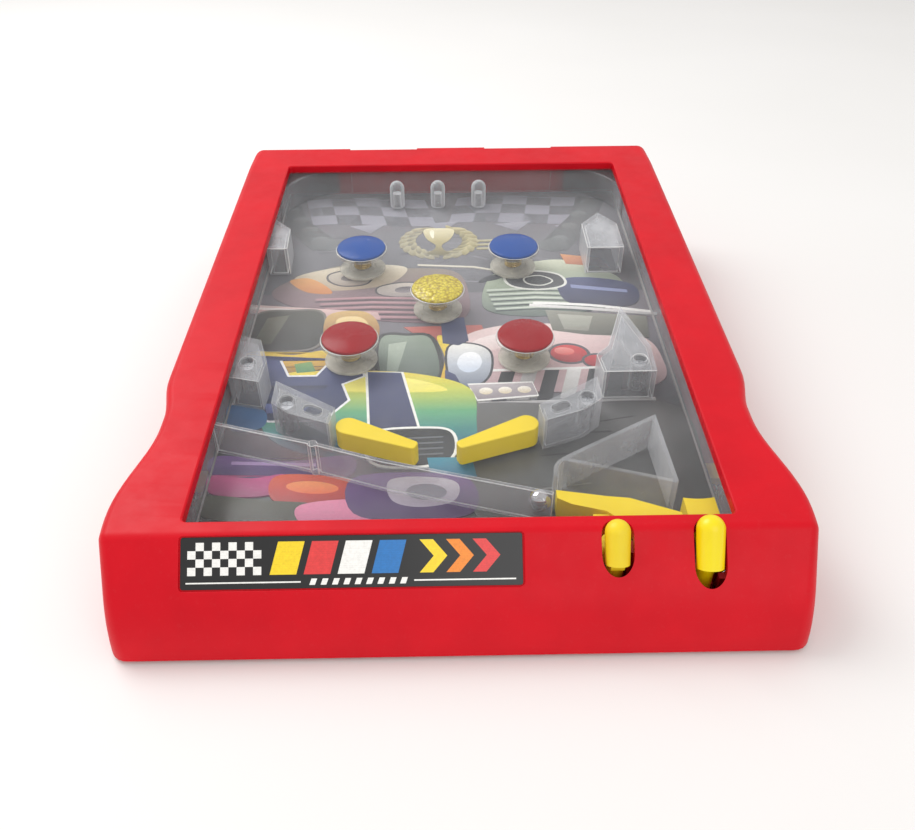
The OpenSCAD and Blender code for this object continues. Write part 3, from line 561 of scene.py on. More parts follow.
def upper_shell():
    shell = case_skin("case_shell", 0, FOOT_H)
    carve(shell, case_skin("hollow", WALL, -6))
    ledge = carve(prism("ledge", rounded(WIN_W + 14, WIN_L + 13, 5), PANE_Z - PANE_T, -WALL / 2),
                  prism("ledge_hole", rounded(WIN_W - 1, WIN_L - 1, 2), -30, 30))
    carve(shell, ledge, how="UNION")
    for x, y in BOSSES:
        foot = (FOOT_H + 2.7 - DECK_Z - y * math.sin(TILT)) / math.cos(TILT)
        carve(shell, turned("boss", [(0, foot), (4, foot), (4, -WALL / 2), (0, -WALL / 2)], x, y, steps=24),
              how="UNION")
    for s in (-1, 1):
        outline = rounded(HEADER_W + 4, HEADER_L + 2, 0.5, s * HEADER_X, REAR_Y - 5.2)
        pocket = prism("pocket", outline, -11, -WALL / 2)
        carve(shell, carve(pocket, case_skin("inner", WALL / 2, -6), how="INTERSECT"), how="UNION")
    carve(shell, lipped("window", WIN_W, WIN_L, 2, 20, 0.9),
          prism("pane_seat", rounded(WIN_W + 8.4, WIN_L + 5.4, 3), PANE_Z - PANE_T - 1, PANE_Z),
          slot_cutter(FEED_X, FEED_SLOT), slot_cutter(PLUNGER_X, PLUNGER_SLOT),
          lipped("label_seat", LABEL_W + 1, LABEL_H + 1, 1.5, LABEL_SUNK, 0.45, place=LABEL))
    for s in (-1, 1):
        outline = rounded(HEADER_W, 27, 0.4, s * HEADER_X, REAR_Y - HEADER_L + 13.5)
        carve(shell, prism("header_slot", outline, -9, 6))
        side = at(s * (HALF_W - WAIST_IN), BUTTON_Y, BUTTON_Z, 90)
        carve(shell, turned("button_hole", [(0, -7), (7.3, -7), (7.3, 7), (0, 7)], place=side))
    round_rims(shell)
    return shell


def round_rims(shell):
    """Takes the sharp edge off the two lever slots."""
    hold(shell)
    bpy.ops.object.mode_set(mode="EDIT")
    bpy.ops.mesh.select_all(action="DESELECT")
    mesh = bmesh.from_edit_mesh(shell.data)
    back = DECK.inverted()
    for edge in mesh.edges:
        if len(edge.link_faces) != 2 or edge.calc_face_angle() < math.radians(50):
            continue
        p = back @ ((edge.verts[0].co + edge.verts[1].co) / 2) / MM
        for x, ends in ((FEED_X, FEED_SLOT), (PLUNGER_X, PLUNGER_SLOT)):
            rim = -max(0, (LAND_Y - p.y))
            if abs(p.x - x) < SLOT_W / 2 + 0.2 and ends[0] - 0.2 < p.y < ends[1] + 0.2 and p.z > rim - 1:
                edge.select_set(True)
    bmesh.update_edit_mesh(shell.data)
    bpy.ops.mesh.bevel(offset=0.5 * MM, segments=2, affect="EDGES", clamp_overlap=True)
    bpy.ops.object.mode_set(mode="OBJECT")


def shade_pockets(shell):
    """Gives the walls of the header slots the darker red finish, as painted shade."""
    paint(shell, case_abs, painted_shade_abs)
    back = DECK.inverted()
    for face in shell.data.polygons:
        p = back @ face.center / MM
        across = any(abs(p.x - s * HEADER_X) < HEADER_W / 2 + 0.1 for s in (-1, 1))
        in_slot = across and p.y > REAR_Y - HEADER_L - 1 and -9.2 < p.z < -0.2
        # faces inside the header slots get the painted shade
        face.material_index = int(in_slot and face.normal.y > -0.2)
    return shell


fit(smooth(shade_pockets(upper_shell()), 30), (case_abs, painted_shade_abs), "case_red", "root", "upper_shell")


# ---- the other moulded pieces ----

def moulded_piece(name, node, finish, slot, body="root", edge=0.4, segments=2, angle=34):
    """The node's own shape with the edges that a mould leaves."""
    finish = finish if isinstance(finish, tuple) else (finish,)
    obj = paint(copy_of(node, name), *finish)
    # with two finishes the rounded edges take the second; on clear pieces that is the painted highlight
    soften(obj, edge, segments, angle, edge_finish=len(finish) - 1)
    return fit(smooth(obj, 40), finish, slot, body, node)


moulded_piece("base_tray", "base_plate", base_abs, "base_red", edge=0.3, segments=1)
moulded_piece("window_sheet", "window_pane", window_clear, "clear_window", edge=0.25, segments=1)
moulded_piece("clear_tray", "playfield_tray", (tray_clear, edge_highlight_clear), "clear_tray", edge=0.3, segments=1)
for part in ("deflector_rear_left", "deflector_rear_right", "deflector_mid_left", "deflector_mid_right",
             "lower_guide_rail", "shooter_lane_guide"):
    moulded_piece("clear_" + part, part, (guide_clear, edge_highlight_clear), "clear_tray", edge=0.35)
for part in ("flipper_crank_left", "flipper_crank_right"):
    moulded_piece("crank_" + part[14:], part, crank_nylon, "nylon_white", part.replace("_crank", ""), edge=0.3)
for side in ("left", "right"):
    moulded_piece("side_button_" + side, "button_" + side, control_abs, "control_yellow", "button_" + side,
                  edge=0.5)
moulded_piece("plunger_block", "plunger_carriage", control_abs, "control_yellow", "plunger", edge=0.4)
moulded_piece("feed_arm", "feed_lever", control_abs, "lever_yellow", "feed", edge=0.5)
for node in ("crank_screw_left", "crank_screw_right", "case_screws", "tower_screws", "feed_pin"):
    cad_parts[node].data.materials.clear()
    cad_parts[node].data.materials.append(screw_steel)


# ---- pegs, bumpers, flippers and ball ----

def arc(cx, cz, r, a0, a1, n):
    """Points (radius, height) of an arc from a0 to a1 degrees."""
    return [(cx + r * math.cos(math.radians(a0 + (a1 - a0) * i / n)),
             cz + r * math.sin(math.radians(a0 + (a1 - a0) * i / n))) for i in range(n + 1)]


def clear_pegs():
    top, mid = WALL_TOP, FLOOR_Z + 8.5
    profile = [(0, mid), (2.6, mid), (2.6, FLOOR_Z + 0.01), (4.2, FLOOR_Z + 0.01), (4.5, FLOOR_Z + 0.4)]
    profile += arc(0, top - 4.5, 4.5, 0, 90, 10)
    pegs = [turned("peg", profile, FLIP_MID + i * 25.2, WIN_L / 2 - 10, steps=32) for i in (-1, 0, 1)]
    return joined("clear_pegs", *pegs)


# the bumpers: underside of the saucer, foot and radius of the cap, and where each one stands
FLANGE_Z = WALL_TOP - 5.6
CAP_FOOT, CAP_R = FLANGE_Z + 1.8, 13.25
BUMPERS = {"blue_left": (FLIP_MID - 41.9, 62.5), "blue_right": (FLIP_MID + 41.9, 62.5),
           "yellow": (FLIP_MID, 20), "red_left": (FLIP_MID - 41.9, -23), "red_right": (FLIP_MID + 41.9, -23)}


def bumper_post(name, x, y):
    """Clear post: cloudy foot disc, stem, and a saucer that shows below the cap."""
    profile = [(0, FLOOR_Z + 0.02), (12.3, FLOOR_Z + 0.02), (12.65, FLOOR_Z + 0.4), (12.65, FLOOR_Z + 1.2),
               (12.3, FLOOR_Z + 1.6), (7.6, FLOOR_Z + 1.6), (7.2, FLOOR_Z + 1.3), (3.8, FLOOR_Z + 1.3),
               (3.5, FLOOR_Z + 1.8), (3.5, FLANGE_Z - 2.2), (4.6, FLANGE_Z - 0.8), (7.5, FLANGE_Z)]
    profile += [(13.4, FLANGE_Z), (13.9, FLANGE_Z + 0.5), (14.1, FLANGE_Z + 1.4), (13.9, FLANGE_Z + 2.1),
                (13.6, FLANGE_Z + 2.2), (13.4, CAP_FOOT - 0.02), (0, CAP_FOOT - 0.02)]
    return turned(name, profile, x, y, steps=64)


def cap_profile(steps):
    """Low dome with a rounded rim."""
    crown, edge = WALL_TOP - 0.3, 0.9
    out = [(0, CAP_FOOT), (CAP_R - 0.35, CAP_FOOT)] + arc(CAP_R - edge, CAP_FOOT + edge, edge, -40, 50, 5)
    r0, z0 = out[-1]
    for i in range(1, steps + 1):
        r = r0 * (1 - i / steps)
        out.append((r, z0 + (crown - z0) * (1 - (r / r0) ** 2)))
    return out


def pebble(cap):
    """Raises the small pebbles of a lens over the top of the cap."""
    back = DECK.inverted()
    up = (DECK.to_3x3() @ Vector((0, 0, 1))).normalized()
    for vert in cap.data.vertices:
        p = back @ vert.co / MM
        if p.z > CAP_FOOT + 0.7:
            near = noise.voronoi(Vector((p.x, p.y, 0)) / 1.9, distance_metric="DISTANCE", exponent=2.5)[0][0]
            vert.co += up * (0.32 * (0.45 - near) * MM)
    return cap


fit(smooth(clear_pegs(), 40), peg_clear, "clear_tray", "root", "lane_pegs")


def coil(name, r, wire, length, turns, place):
    """A helical spring along Z of place, from its origin."""
    sides, steps = 9, int(22 * turns)
    ring = [(r + wire / 2 * math.cos(a), 0, wire / 2 + wire / 2 * math.sin(a))
            for a in (math.tau * i / sides for i in range(sides))]
    obj = sketch(name, ring, edges=[(i, (i + 1) % sides) for i in range(sides)], place=TABLE)
    worked(obj, "SCREW", angle=math.tau * turns, screw_offset=(length - wire) * MM, steps=steps,
           render_steps=steps, axis="Z", use_merge_vertices=False)
    editing(obj, lambda: bpy.ops.mesh.fill_holes(sides=12), outward)
    obj.data.transform(place)
    hold(obj)
    bpy.ops.object.shade_smooth()
    return obj


CAPS = {"blue": (cap_blue, "cap_blue"), "red": (cap_red, "cap_red"), "yellow": (cap_yellow, "cap_yellow")}
for where, (x, y) in BUMPERS.items():
    finish, slot = CAPS[where.split("_")[0]]
    post = paint(bumper_post("bumper_body_" + where, x, y), post_clear, disc_clear, edge_highlight_clear)
    back = DECK.inverted()
    for face in post.data.polygons:
        p = back @ face.center / MM
        r = math.hypot(p.x - x, p.y - y)
        # the saucer's rim takes the white edge finish, a painted highlight
        foot, rim = p.z < FLOOR_Z + 1.8 and r > 3.6, p.z > FLANGE_Z + 1.9 and r > 13.5
        face.material_index = 1 if foot else 2 if rim else 0
    fit(smooth(post, 30), (post_clear, disc_clear, edge_highlight_clear), "clear_bumper", "root", "bumper_post_" + where)
    if where == "yellow":
        cap = pebble(turned("bumper_dome_" + where, cap_profile(48), x, y, steps=200))
    else:
        cap = turned("bumper_dome_" + where, cap_profile(14), x, y, steps=72)
    fit(smooth(cap, 50), finish, slot, "root", "bumper_cap_" + where)
    fit(coil("bumper_coil_" + where, 4.25, 1.2, 5.2, 3.4, at(x, y, FLOOR_Z + 1.45)), spring_brass, "brass_wire",
        "root", "bumper_spring_" + where)

FLIP_Z, FLIP_H, DROOP, CRANK_Z = FLOOR_Z + 1, 10, 24.5, UNDER_Z - 4.6
HEEL_R, TIP_R, FLIP_L = 5.2, 2.6, 30


def flipper(side, s):
    """Tapered paddle with a round heel, a blunt tip and its shaft."""
    lean = math.acos((HEEL_R - TIP_R) / FLIP_L)
    outline = [(HEEL_R * math.cos(a), HEEL_R * math.sin(a)) for a in
               (lean + (math.tau - 2 * lean) * i / 26 for i in range(27))]
    outline += [(30.8, -2.55), (31.6, -2.35), (32.2, -1.7), (32.4, -1), (32.4, 1), (32.2, 1.7), (31.6, 2.35),
                (30.8, 2.55)]
    turn = math.radians(-DROOP)
    outline = [(x * math.cos(turn) - y * math.sin(turn), x * math.sin(turn) + y * math.cos(turn))
               for x, y in outline]
    outline = [(FLIP_MID + s * (FLIP_HALF - x), FLIP_Y + y) for x, y in outline]
    paddle = soften(prism("flipper_paddle_" + side, outline, FLIP_Z, FLIP_Z + FLIP_H), 0.55, 3, 50)
    x = FLIP_MID + s * FLIP_HALF
    shaft = turned("shaft", [(0, CRANK_Z - 3), (1.9, CRANK_Z - 3), (1.9, CRANK_Z), (2.5, CRANK_Z),
                             (2.5, FLIP_Z + 2), (0, FLIP_Z + 2)], x, FLIP_Y, steps=28)
    return smooth(carve(paddle, shaft, how="UNION"), 40)


for side, s in (("left", -1), ("right", 1)):
    fit(flipper(side, s), control_abs, "control_yellow", "flipper_" + side, "flipper_" + side)
    moulded_piece("clear_sling_" + side, "sling_block_" + side, (guide_clear, edge_highlight_clear), "clear_tray",
                  edge=0.35)
    # the button's spring keeps its inner end, 96.1 mm from the middle, and shortens as the button goes in
    inner = s * 96.1
    spring = coil("button_coil_" + side, 3.15, 0.7, 20.1, 8.5, at(inner, BUTTON_Y - 11, BUTTON_Z, s * 90))
    fit(spring, spring_steel, "spring_steel", "root", "button_spring_" + side)
    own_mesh(spring)

# the plunger's spring lies along the slope beside its block, the ball lever's stands below its finger
PLUNGER_Z = UNDER_Z - 6
spring = coil("plunger_coil", 2.65, 0.7, 13.6, 6.5, at(PLUNGER_X + 12.2, FRONT_Y + 8.8, PLUNGER_Z, 90, "X"))
fit(spring, spring_steel, "spring_steel", "root", "plunger_spring")
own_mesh(spring)
FEED_SPRING_Y = FRONT_Y - 10.8
foot = (4.2 - DECK_Z - FEED_SPRING_Y * math.sin(TILT)) / math.cos(TILT) + 0.4
spring = coil("feed_coil", 2.65, 0.7, FLOOR_Z + 3.3 - foot, 7, at(FEED_X, FEED_SPRING_Y, foot))
fit(spring, spring_steel, "spring_steel", "root", "feed_spring")
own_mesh(spring)


moulded_piece("plunger_tip", "plunger_knob", lever_abs, "lever_yellow", "plunger", edge=0.4)


def steel_ball():
    low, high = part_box("steel_ball")
    bpy.ops.object.select_all(action="DESELECT")
    bpy.ops.mesh.primitive_uv_sphere_add(segments=64, ring_count=40, radius=(high.x - low.x) / 2,
                                         location=(low + high) / 2)
    ball = hold(bpy.context.active_object)
    ball.name = "rolling_ball"
    bpy.ops.object.transform_apply(location=True, rotation=True, scale=True)
    bpy.ops.object.shade_smooth()
    return ball


fit(steel_ball(), ball_steel, "steel", "ball", "steel_ball")
moulded_piece("foot_pads", "rubber_feet", foot_rubber, "rubber", edge=0.4)


# ---- the printed card and the label ----

def curved(points, n=5, closed=True):
    """Points along a smooth curve through the given ones."""
    out, m = [], len(points)
    for i in range(m if closed else m - 1):
        near = [i + k for k in (-1, 0, 1, 2)]
        a, b, c, d = (points[k % m if closed else min(max(k, 0), m - 1)] for k in near)
        for j in range(n):
            t = j / n
            out.append(tuple(0.5 * (2 * b[k] + (c[k] - a[k]) * t
                                    + (2 * a[k] - 5 * b[k] + 4 * c[k] - d[k]) * t * t
                                    + (3 * b[k] - a[k] - 3 * c[k] + d[k]) * t ** 3) for k in (0, 1)))
    return out if closed else out + [points[-1]]


def oval(cx, cy, rx, ry, turn=0, n=30):
    t = math.radians(turn)
    return [(cx + rx * math.cos(a) * math.cos(t) - ry * math.sin(a) * math.sin(t),
             cy + rx * math.cos(a) * math.sin(t) + ry * math.sin(a) * math.cos(t))
            for a in (math.tau * i / n for i in range(n))]


def offset(points, d, closed=True):
    """The line through points moved d to its left."""
    out, m = [], len(points)
    for i, (x, y) in enumerate(points):
        ax, ay = points[i - 1] if closed or i else points[0]
        bx, by = points[(i + 1) % m] if closed or i < m - 1 else points[-1]
        dx, dy = bx - ax, by - ay
        k = math.hypot(dx, dy) or 1
        out.append((x - dy / k * d, y + dx / k * d))
    return out


def stripe(points, width):
    """A line of the given width along points."""
    return offset(points, width / 2, False) + offset(points, -width / 2, False)[::-1]


def area(points):
    return sum(a[0] * b[1] - b[0] * a[1] for a, b in zip(points, points[1:] + points[:1])) / 2


def cut(points, y0, y1):
    """The part of an outline between two heights."""
    for sign, limit in ((1, y0), (-1, -y1)):
        out = []
        for a, b in zip(points, points[1:] + points[:1]):
            fa, fb = sign * a[1] - limit, sign * b[1] - limit
            if fa >= 0:
                out.append(a)
            if (fa >= 0) != (fb >= 0):
                t = fa / (fa - fb)
                out.append((a[0] + (b[0] - a[0]) * t, a[1] + (b[1] - a[1]) * t))
        points = out
        if len(points) < 3:
            return []
    return points


class Print:
    """Inks laid one over another, each a thin slab on the sheet, with its colour kept on the mesh."""

    def __init__(self, place, sheet_top, step):
        self.place, self.z, self.step = place, sheet_top, step
        self.points, self.faces, self.inks, self.layer = [], [], [], 0

    def slab(self, outline, ink_at):
        if area(outline) < 0:
            outline = outline[::-1]
        top = self.z + self.step * self.layer
        first, n = len(self.points), len(outline)
        self.points += [(x, y, self.z - 0.05) for x, y in outline] + [(x, y, top) for x, y in outline]
        inks = [ink_at(y) for x, y in outline]
        self.faces.append([first + n + i for i in range(n)])
        self.inks.append(inks)
        self.faces.append([first + n - 1 - i for i in range(n)])
        self.inks.append(inks[::-1])
        for i in range(n):
            j = (i + 1) % n
            self.faces.append([first + i, first + j, first + n + j, first + n + i])
            self.inks.append([inks[i], inks[j], inks[j], inks[i]])

    def ink(self, outline, *codes):
        """Fills an outline with one colour, or with several from its top to its foot."""
        self.layer += 1
        tones = [colour(c) for c in codes]
        if len(tones) == 1:
            self.slab(outline, lambda y: tones[0])
            return
        low, high = min(p[1] for p in outline), max(p[1] for p in outline)

        def tone(y):
            t = (high - y) / (high - low) * (len(tones) - 1)
            i = min(int(t), len(tones) - 2)
            return [a + (b - a) * (t - i) for a, b in zip(tones[i], tones[i + 1])]
        bands = 10
        for i in range(bands):
            part = cut(outline, low + (high - low) * i / bands, low + (high - low) * (i + 1) / bands)
            if len(part) > 2 and abs(area(part)) > 0.01:
                self.slab(part, tone)

    def edged(self, outline, edge, width, *codes):
        """A filled outline with a border drawn round it."""
        side = -width if area(outline) > 0 else width
        self.ink(offset(outline, side), edge)
        self.ink(outline, *codes)

    def finish(self, name):
        obj = sketch(name, self.points, faces=self.faces, place=self.place)
        layer = obj.data.color_attributes.new("ink", "FLOAT_COLOR", "CORNER")
        flat = [c for inks in self.inks for ink in inks for c in ink]
        layer.data.foreach_set("color", flat)
        return obj


def coloured(obj, code):
    layer = obj.data.color_attributes.new("ink", "FLOAT_COLOR", "CORNER")
    layer.data.foreach_set("color", colour(code) * len(layer.data))
    return obj


def card_blank():
    """The printed sheet with its holes."""
    sheet = prism("printed_sheet", rounded(210, 309.5, 4, 0, 5.25), CARD_Z, CARD_Z + 0.25)
    low, high = CARD_Z - 1.3, CARD_Z + 1.7
    hole = [(0, low), (4.8, low), (4.8, high), (0, high)]
    tools = [turned("hole", hole, FLIP_MID + s * FLIP_HALF, FLIP_Y, steps=28) for s in (-1, 1)]
    # the plunger's slot and the room that the ball lever sweeps
    tools.append(prism("slot", [(88, -150.5), (96, -150.5), (96, -126.5), (88, -126.5)], low, high))
    tools.append(prism("arm", [(37.2, -150.5), (86, -150.5), (85.3, -136.6), (66.5, -128.6), (58, -127.2),
                               (37.2, -123.6)], low, high))
    carve(sheet, *tools)
    editing(sheet, lambda: bpy.ops.mesh.quads_convert_to_tris())
    return coloured(sheet, "5B5A60")


def flag(art, x0, y0, dx, dy, nx, ny, wave, lean, light, dark):
    """A waving chequered flag."""
    def spot(i, j):
        x = x0 + i * dx + j * lean
        return x, y0 - j * dy + wave * math.sin(i * 0.9 + j * 0.25) + i * wave * 0.12
    outline = [spot(i / 2, 0) for i in range(2 * nx + 1)] + [spot(i / 2, ny) for i in range(2 * nx, -1, -1)]
    art.ink(outline, light)
    for i in range(nx):
        for j in range(ny):
            if (i + j) % 2:
                art.layer -= 1
                art.ink([spot(i, j), spot(i + 0.5, j), spot(i + 1, j), spot(i + 1, j + 1), spot(i + 0.5, j + 1),
                         spot(i, j + 1)], dark)
    art.layer += 1


def artwork():
    """Racing scene made up for this game: flags, a wreath, cars seen from the front and the track."""
    art = Print(DECK, CARD_Z + 0.25, 0.004)
    ink, edged = art.ink, art.edged

    def soft(points, *codes, n=6):
        ink(curved(points, n), *codes)

    # the track and its verge
    ink(rounded(208, 116, 2, 0, 98), "6B686C", "5E5B60", "57545A")
    ink(rounded(208, 96, 1, 0, -8), "7A6F76", "666069", "58565C")
    ink(rounded(208, 96, 2, 0, -100), "4B4B4E", "424444", "4A4A48")
    for k in range(40):
        x, y = random.uniform(-98, 84), random.uniform(28, 148)
        ink(stripe([(x, y), (x + random.uniform(6, 26), y + random.uniform(-4, 2))],
             random.uniform(0.4, 1.8)), random.choice(("8D8B92", "77757C", "4E4C52", "454349")))
    # flags behind the pegs
    flag(art, -92, 151, 15, 11.5, 5, 3, 2.6, 2.5, "9C9AA6", "4F4B54")
    flag(art, 4, 152, 15, 11.5, 6, 3, 2.4, -2.0, "9896A2", "4D4A52")
    for x, y in ((-62, 116), (-18, 118), (26, 117), (62, 114)):
        ink([(x, y), (x + 22, y + 3), (x + 13, y - 9)], "A9A8B4", "85838F")
    # the lit gantries at the sides
    for s, ends in ((-1, [(-103, 142), (-96, 120), (-74, 92)]), (1, [(89, 150), (80, 122), (59, 88)])):
        ink(stripe(ends, 17), "333634", "414440")
        ink(stripe(ends, 11), "4C514E", "3B3E3B")
        for k in range(4):
            t = 0.1 + k / 4
            x = ends[0][0] + (ends[2][0] - ends[0][0]) * t
            y = ends[0][1] + (ends[2][1] - ends[0][1]) * t
            ink(oval(x, y, 5, 4.2, 20), "6E756F", "474C48")
        ink(oval(ends[2][0], ends[2][1] + 2, 9, 7), "5C605C", "3C3F3C")
    # wreath and cup
    for s in (-1, 1):
        for k in range(9):
            a = math.radians(-70 + 16 * k)
            x, y = -8 + s * 20 * math.cos(a), 96 + 17 * math.sin(a)
            ink(oval(x, y, 6, 2.4, 90 + s * math.degrees(a) + 25 * s), "DDD2A2", "8F8350")
            ink(oval(x - s * 4, y + 1, 4.6, 1.7, 60 + s * math.degrees(a)), "C9BD87", "6F6740")
    soft([(-17, 110), (-8, 112), (1, 110), (-1, 99), (-6, 92), (-5, 86), (-1, 82), (-8, 80), (-15, 82),
          (-11, 86), (-10, 92), (-15, 99)], "EFE6BE", "B8AA72", "6E663F", n=4)
    soft([(-13.5, 108), (-11, 109), (-11, 100), (-12.5, 101)], "FBF6DC", n=4)
    for k in range(3):
        ink(stripe([(14, 96 - 4.6 * k), (42, 97 - 4.6 * k)], 2.2), "D9CFA4", "A0966C")
    # upper left car: cream nose, lamp, rows of dark lines over a dusty pink body
    soft([(-98, 44), (-84, 58), (-60, 70), (-30, 66), (0, 62), (8, 40), (4, 14), (-30, 12), (-70, 22),
          (-92, 32)], "8F8473", "8A7376", "7B5D66")
    soft([(-88, 56), (-70, 66), (-46, 70), (-26, 66), (-34, 50), (-52, 44), (-72, 44)], "E6DCC6", "D3C3A6",
          "B39F86")
    soft([(-90, 54), (-80, 56), (-70, 48), (-66, 40), (-78, 41), (-86, 47)], "E9A95C", "C87B35")
    edged(curved([(-68, 60), (-56, 64), (-46, 60), (-48, 50), (-60, 48), (-68, 53)], 6), "4A4244", 1.2,
           "D9CFBC", "A8988A")
    ink(oval(-57, 56, 5.4, 3.4, 10), "5A4E50", "8B7D78")
    edged(curved([(-40, 46), (-26, 50), (-12, 46), (-14, 38), (-28, 36), (-40, 39)], 6), "4E484A", 1.1,
           "D4C9BC", "A09490")
    ink(oval(-26, 43, 6, 3.2, 6), "514A4E", "8F8588")
    for k in range(5):
        y = 33 - 4.6 * k
        ink(stripe([(-74 + 3 * k, y + 1), (-44, y + 2.4), (0, y)], 1.9), "C79A9E", "8F666E")
        ink(stripe([(-74 + 3 * k, y - 1.2), (-44, y + 0.2), (2, y - 2.2)], 1.1), "4C3A42")
    ink(stripe([(-20, 69), (12, 66), (30, 60)], 1.6), "E4DDCB")
    ink([(-108, 30), (-40, 21), (-38, 14), (-107, 22)], "E9CFC8", "C09898")
    ink([(-107, 28), (-72, 23.4), (-72, 21.4), (-107, 25.6)], "FBF0EC")
    ink([(-26, 7), (14, 8), (16, -2), (-14, -6)], "C96A5C", "9C4C48")
    # upper right car: pale green nose with white swirls, navy flank
    soft([(19, 52), (30, 62), (54, 70), (74, 66), (92, 52), (90, 28), (62, 18), (36, 16), (16, 24)],
          "BFC6AE", "9CA892", "66716B")
    soft([(40, 68), (58, 73), (78, 68), (84, 58), (66, 60), (50, 62)], "DDE0C8", "A9B096")
    for k in range(5):
        y = 41 - 4.6 * k
        ink(stripe([(18 + k, y), (44, y + 1.6), (72, y - 0.6)], 1.7), "E3E8DA", "AEB8AC")
        ink(stripe([(18 + k, y - 2), (44, y - 0.4), (72, y - 2.6)], 0.9), "3F4A4C")
    soft([(58, 50), (76, 53), (98, 45), (97, 27), (78, 23), (60, 29)], "4A527D", "363C62", "2A2D47", n=5)
    ink([(64, 46), (94, 40), (94, 37), (64, 42.5)], "8C95BE")
    edged(curved([(30, 56), (44, 60), (58, 56), (60, 46), (46, 42), (32, 46)], 6), "F2F2EA", 1.5, "35373A",
           "4B4E50")
    edged(curved([(40, 53), (48, 55), (54, 50), (48, 46), (41, 48)], 6), "EDEDE4", 1.1, "3A3D40")
    soft([(20, 56), (30, 58), (24, 52), (14, 50)], "33363A", n=5)
    ink([(62, 79), (84, 74), (88, 64), (64, 68)], "E5A06A", "B9674A")
    ink(stripe([(40, 26), (70, 22), (106, 16)], 2.6), "F4F1EE", "BDBABA")
    # left windscreen and body
    edged(curved([(-103, 19), (-84, 23), (-69, 20), (-68, -6), (-80, -12), (-101, -9)], 5), "77726A", 1.6,
           "474636", "35352B", "26261F")
    ink([(-97, 17), (-86, 19), (-92, -7), (-101, -6)], "6E6D58", "4B4A3B")
    soft([(-66, 18), (-48, 22), (-39, 10), (-40, -8), (-52, -15), (-64, -10)], "D7B36B", "A77B45", "6F4F38")
    soft([(-61, 14), (-50, 17), (-44, 9), (-46, -3), (-56, -6)], "F0D79A", "C79B58")
    soft([(-101, -13), (-80, -16), (-64, -13), (-62, -26), (-82, -31), (-102, -27)], "F1D33D", "D9A92D",
          "93702A", n=5)
    ink([(-98, -17), (-70, -18.5), (-70, -21), (-98, -20)], "FBF0A0")
    # middle windscreen
    edged(curved([(-37, -3), (-24, -1), (-12, -4), (-8, -34), (-22, -38), (-35, -34)], 5), "2E302E", 2.2,
           "93A08F", "6F7C70", "4A544D")
    ink([(-33, -8), (-24, -6), (-28, -32), (-33, -31)], "B4BFAE", "7F8C7F")
    soft([(-9, -3), (-5, -3), (0, -20), (-2, -38), (-7, -38), (-5, -20)], "F1D640", "D2A42D", n=5)
    # right car, pale pink bonnet, windscreen and grille
    soft([(4, -3), (30, 8), (66, 6), (94, -4), (101, -22), (96, -42), (58, -48), (20, -44), (2, -28)],
          "F0DAD6", "DDBDBD", "A98E92")
    ink([(48, 21), (100, 14), (98, -5), (66, -2), (50, 2)], "9B9A8E", "7C7C70", "5C5C54")
    ink([(54, 17), (72, 14.5), (68, 1), (56, 3)], "B9B9AC", "8D8D80")
    ink(stripe(curved([(42, 28), (72, 25), (104, 18)], 6, False), 2.2), "FAF8F4")
    soft([(10, -6), (30, 2), (46, 0), (44, -9), (26, -12), (10, -16)], "FBF0EC", "EBD3D0")
    edged(oval(56, -18, 9, 7.2, -8), "56555A", 1.6, "D83A3A", "A3212B")
    ink(oval(54, -16, 5, 3.2, -8), "F19A90", "D9534F")
    edged(oval(69.5, -24.5, 6.6, 5, -8), "56555A", 1.4, "CF3138", "97202A")
    for k in range(7):
        x = 22 + 10.6 * k
        ink([(x, -32 + k * 0.4), (x + 6.8, -32 + k * 0.4), (x + 1, -54 + k * 0.4), (x - 5.8, -54 + k * 0.4)],
             ("1E1E20", "C9C6C4", "38383B", "E4E2DF", "232326", "A9A7A6", "3A3A3D")[k], ("3E3E42", "8A8887",
             "1D1D20", "A19F9D", "45454A", "6F6E6D", "1C1C1E")[k])
    ink(stripe([(14, -31), (96, -29)], 1.8), "EFEDEA")
    ink(stripe([(10, -56), (92, -54)], 2.2), "D9D6D4", "77757A")
    edged(curved([(-3, -12), (8, -9), (17, -16), (16, -34), (8, -43), (-2, -38)], 6), "2E2D33", 1.2,
           "F3F1EA", "B9BFC9", "6F7889")
    ink(oval(7, -24, 6, 8.4, -8), "FFFFFF", "C7D2E2")
    ink([(-7, 13), (5, 15), (7, -6), (2, -10), (-6, -8)], "3F4775", "2D3255")
    ink([(-5, -30), (0, -34), (4, -46), (-5, -44)], "3F4775", "262A48")
    edged([(6, -42), (36, -41), (38, -50), (10, -53)], "F4F2EF", 1.1, "BFB6B9", "8D8489")
    for k in range(3):
        ink(oval(14 + 9 * k, -46.8 + 0.4 * k, 3.2, 2.6), "FBF7EE", "D9C9A9")
    # dark road to the lower right with worn lines
    soft([(4, -58), (50, -57), (101, -60), (103, -110), (98, -150), (40, -152), (8, -128), (2, -90)],
          "646362", "4E4F4D", "454644")
    for k in range(12):
        x, y = random.uniform(14, 90), random.uniform(-138, -62)
        ink(stripe([(x, y), (x + random.uniform(8, 26), y + random.uniform(1, 5))],
             random.uniform(0.4, 1.2)), random.choice(("767573", "5B5B59", "3C3D3B")))
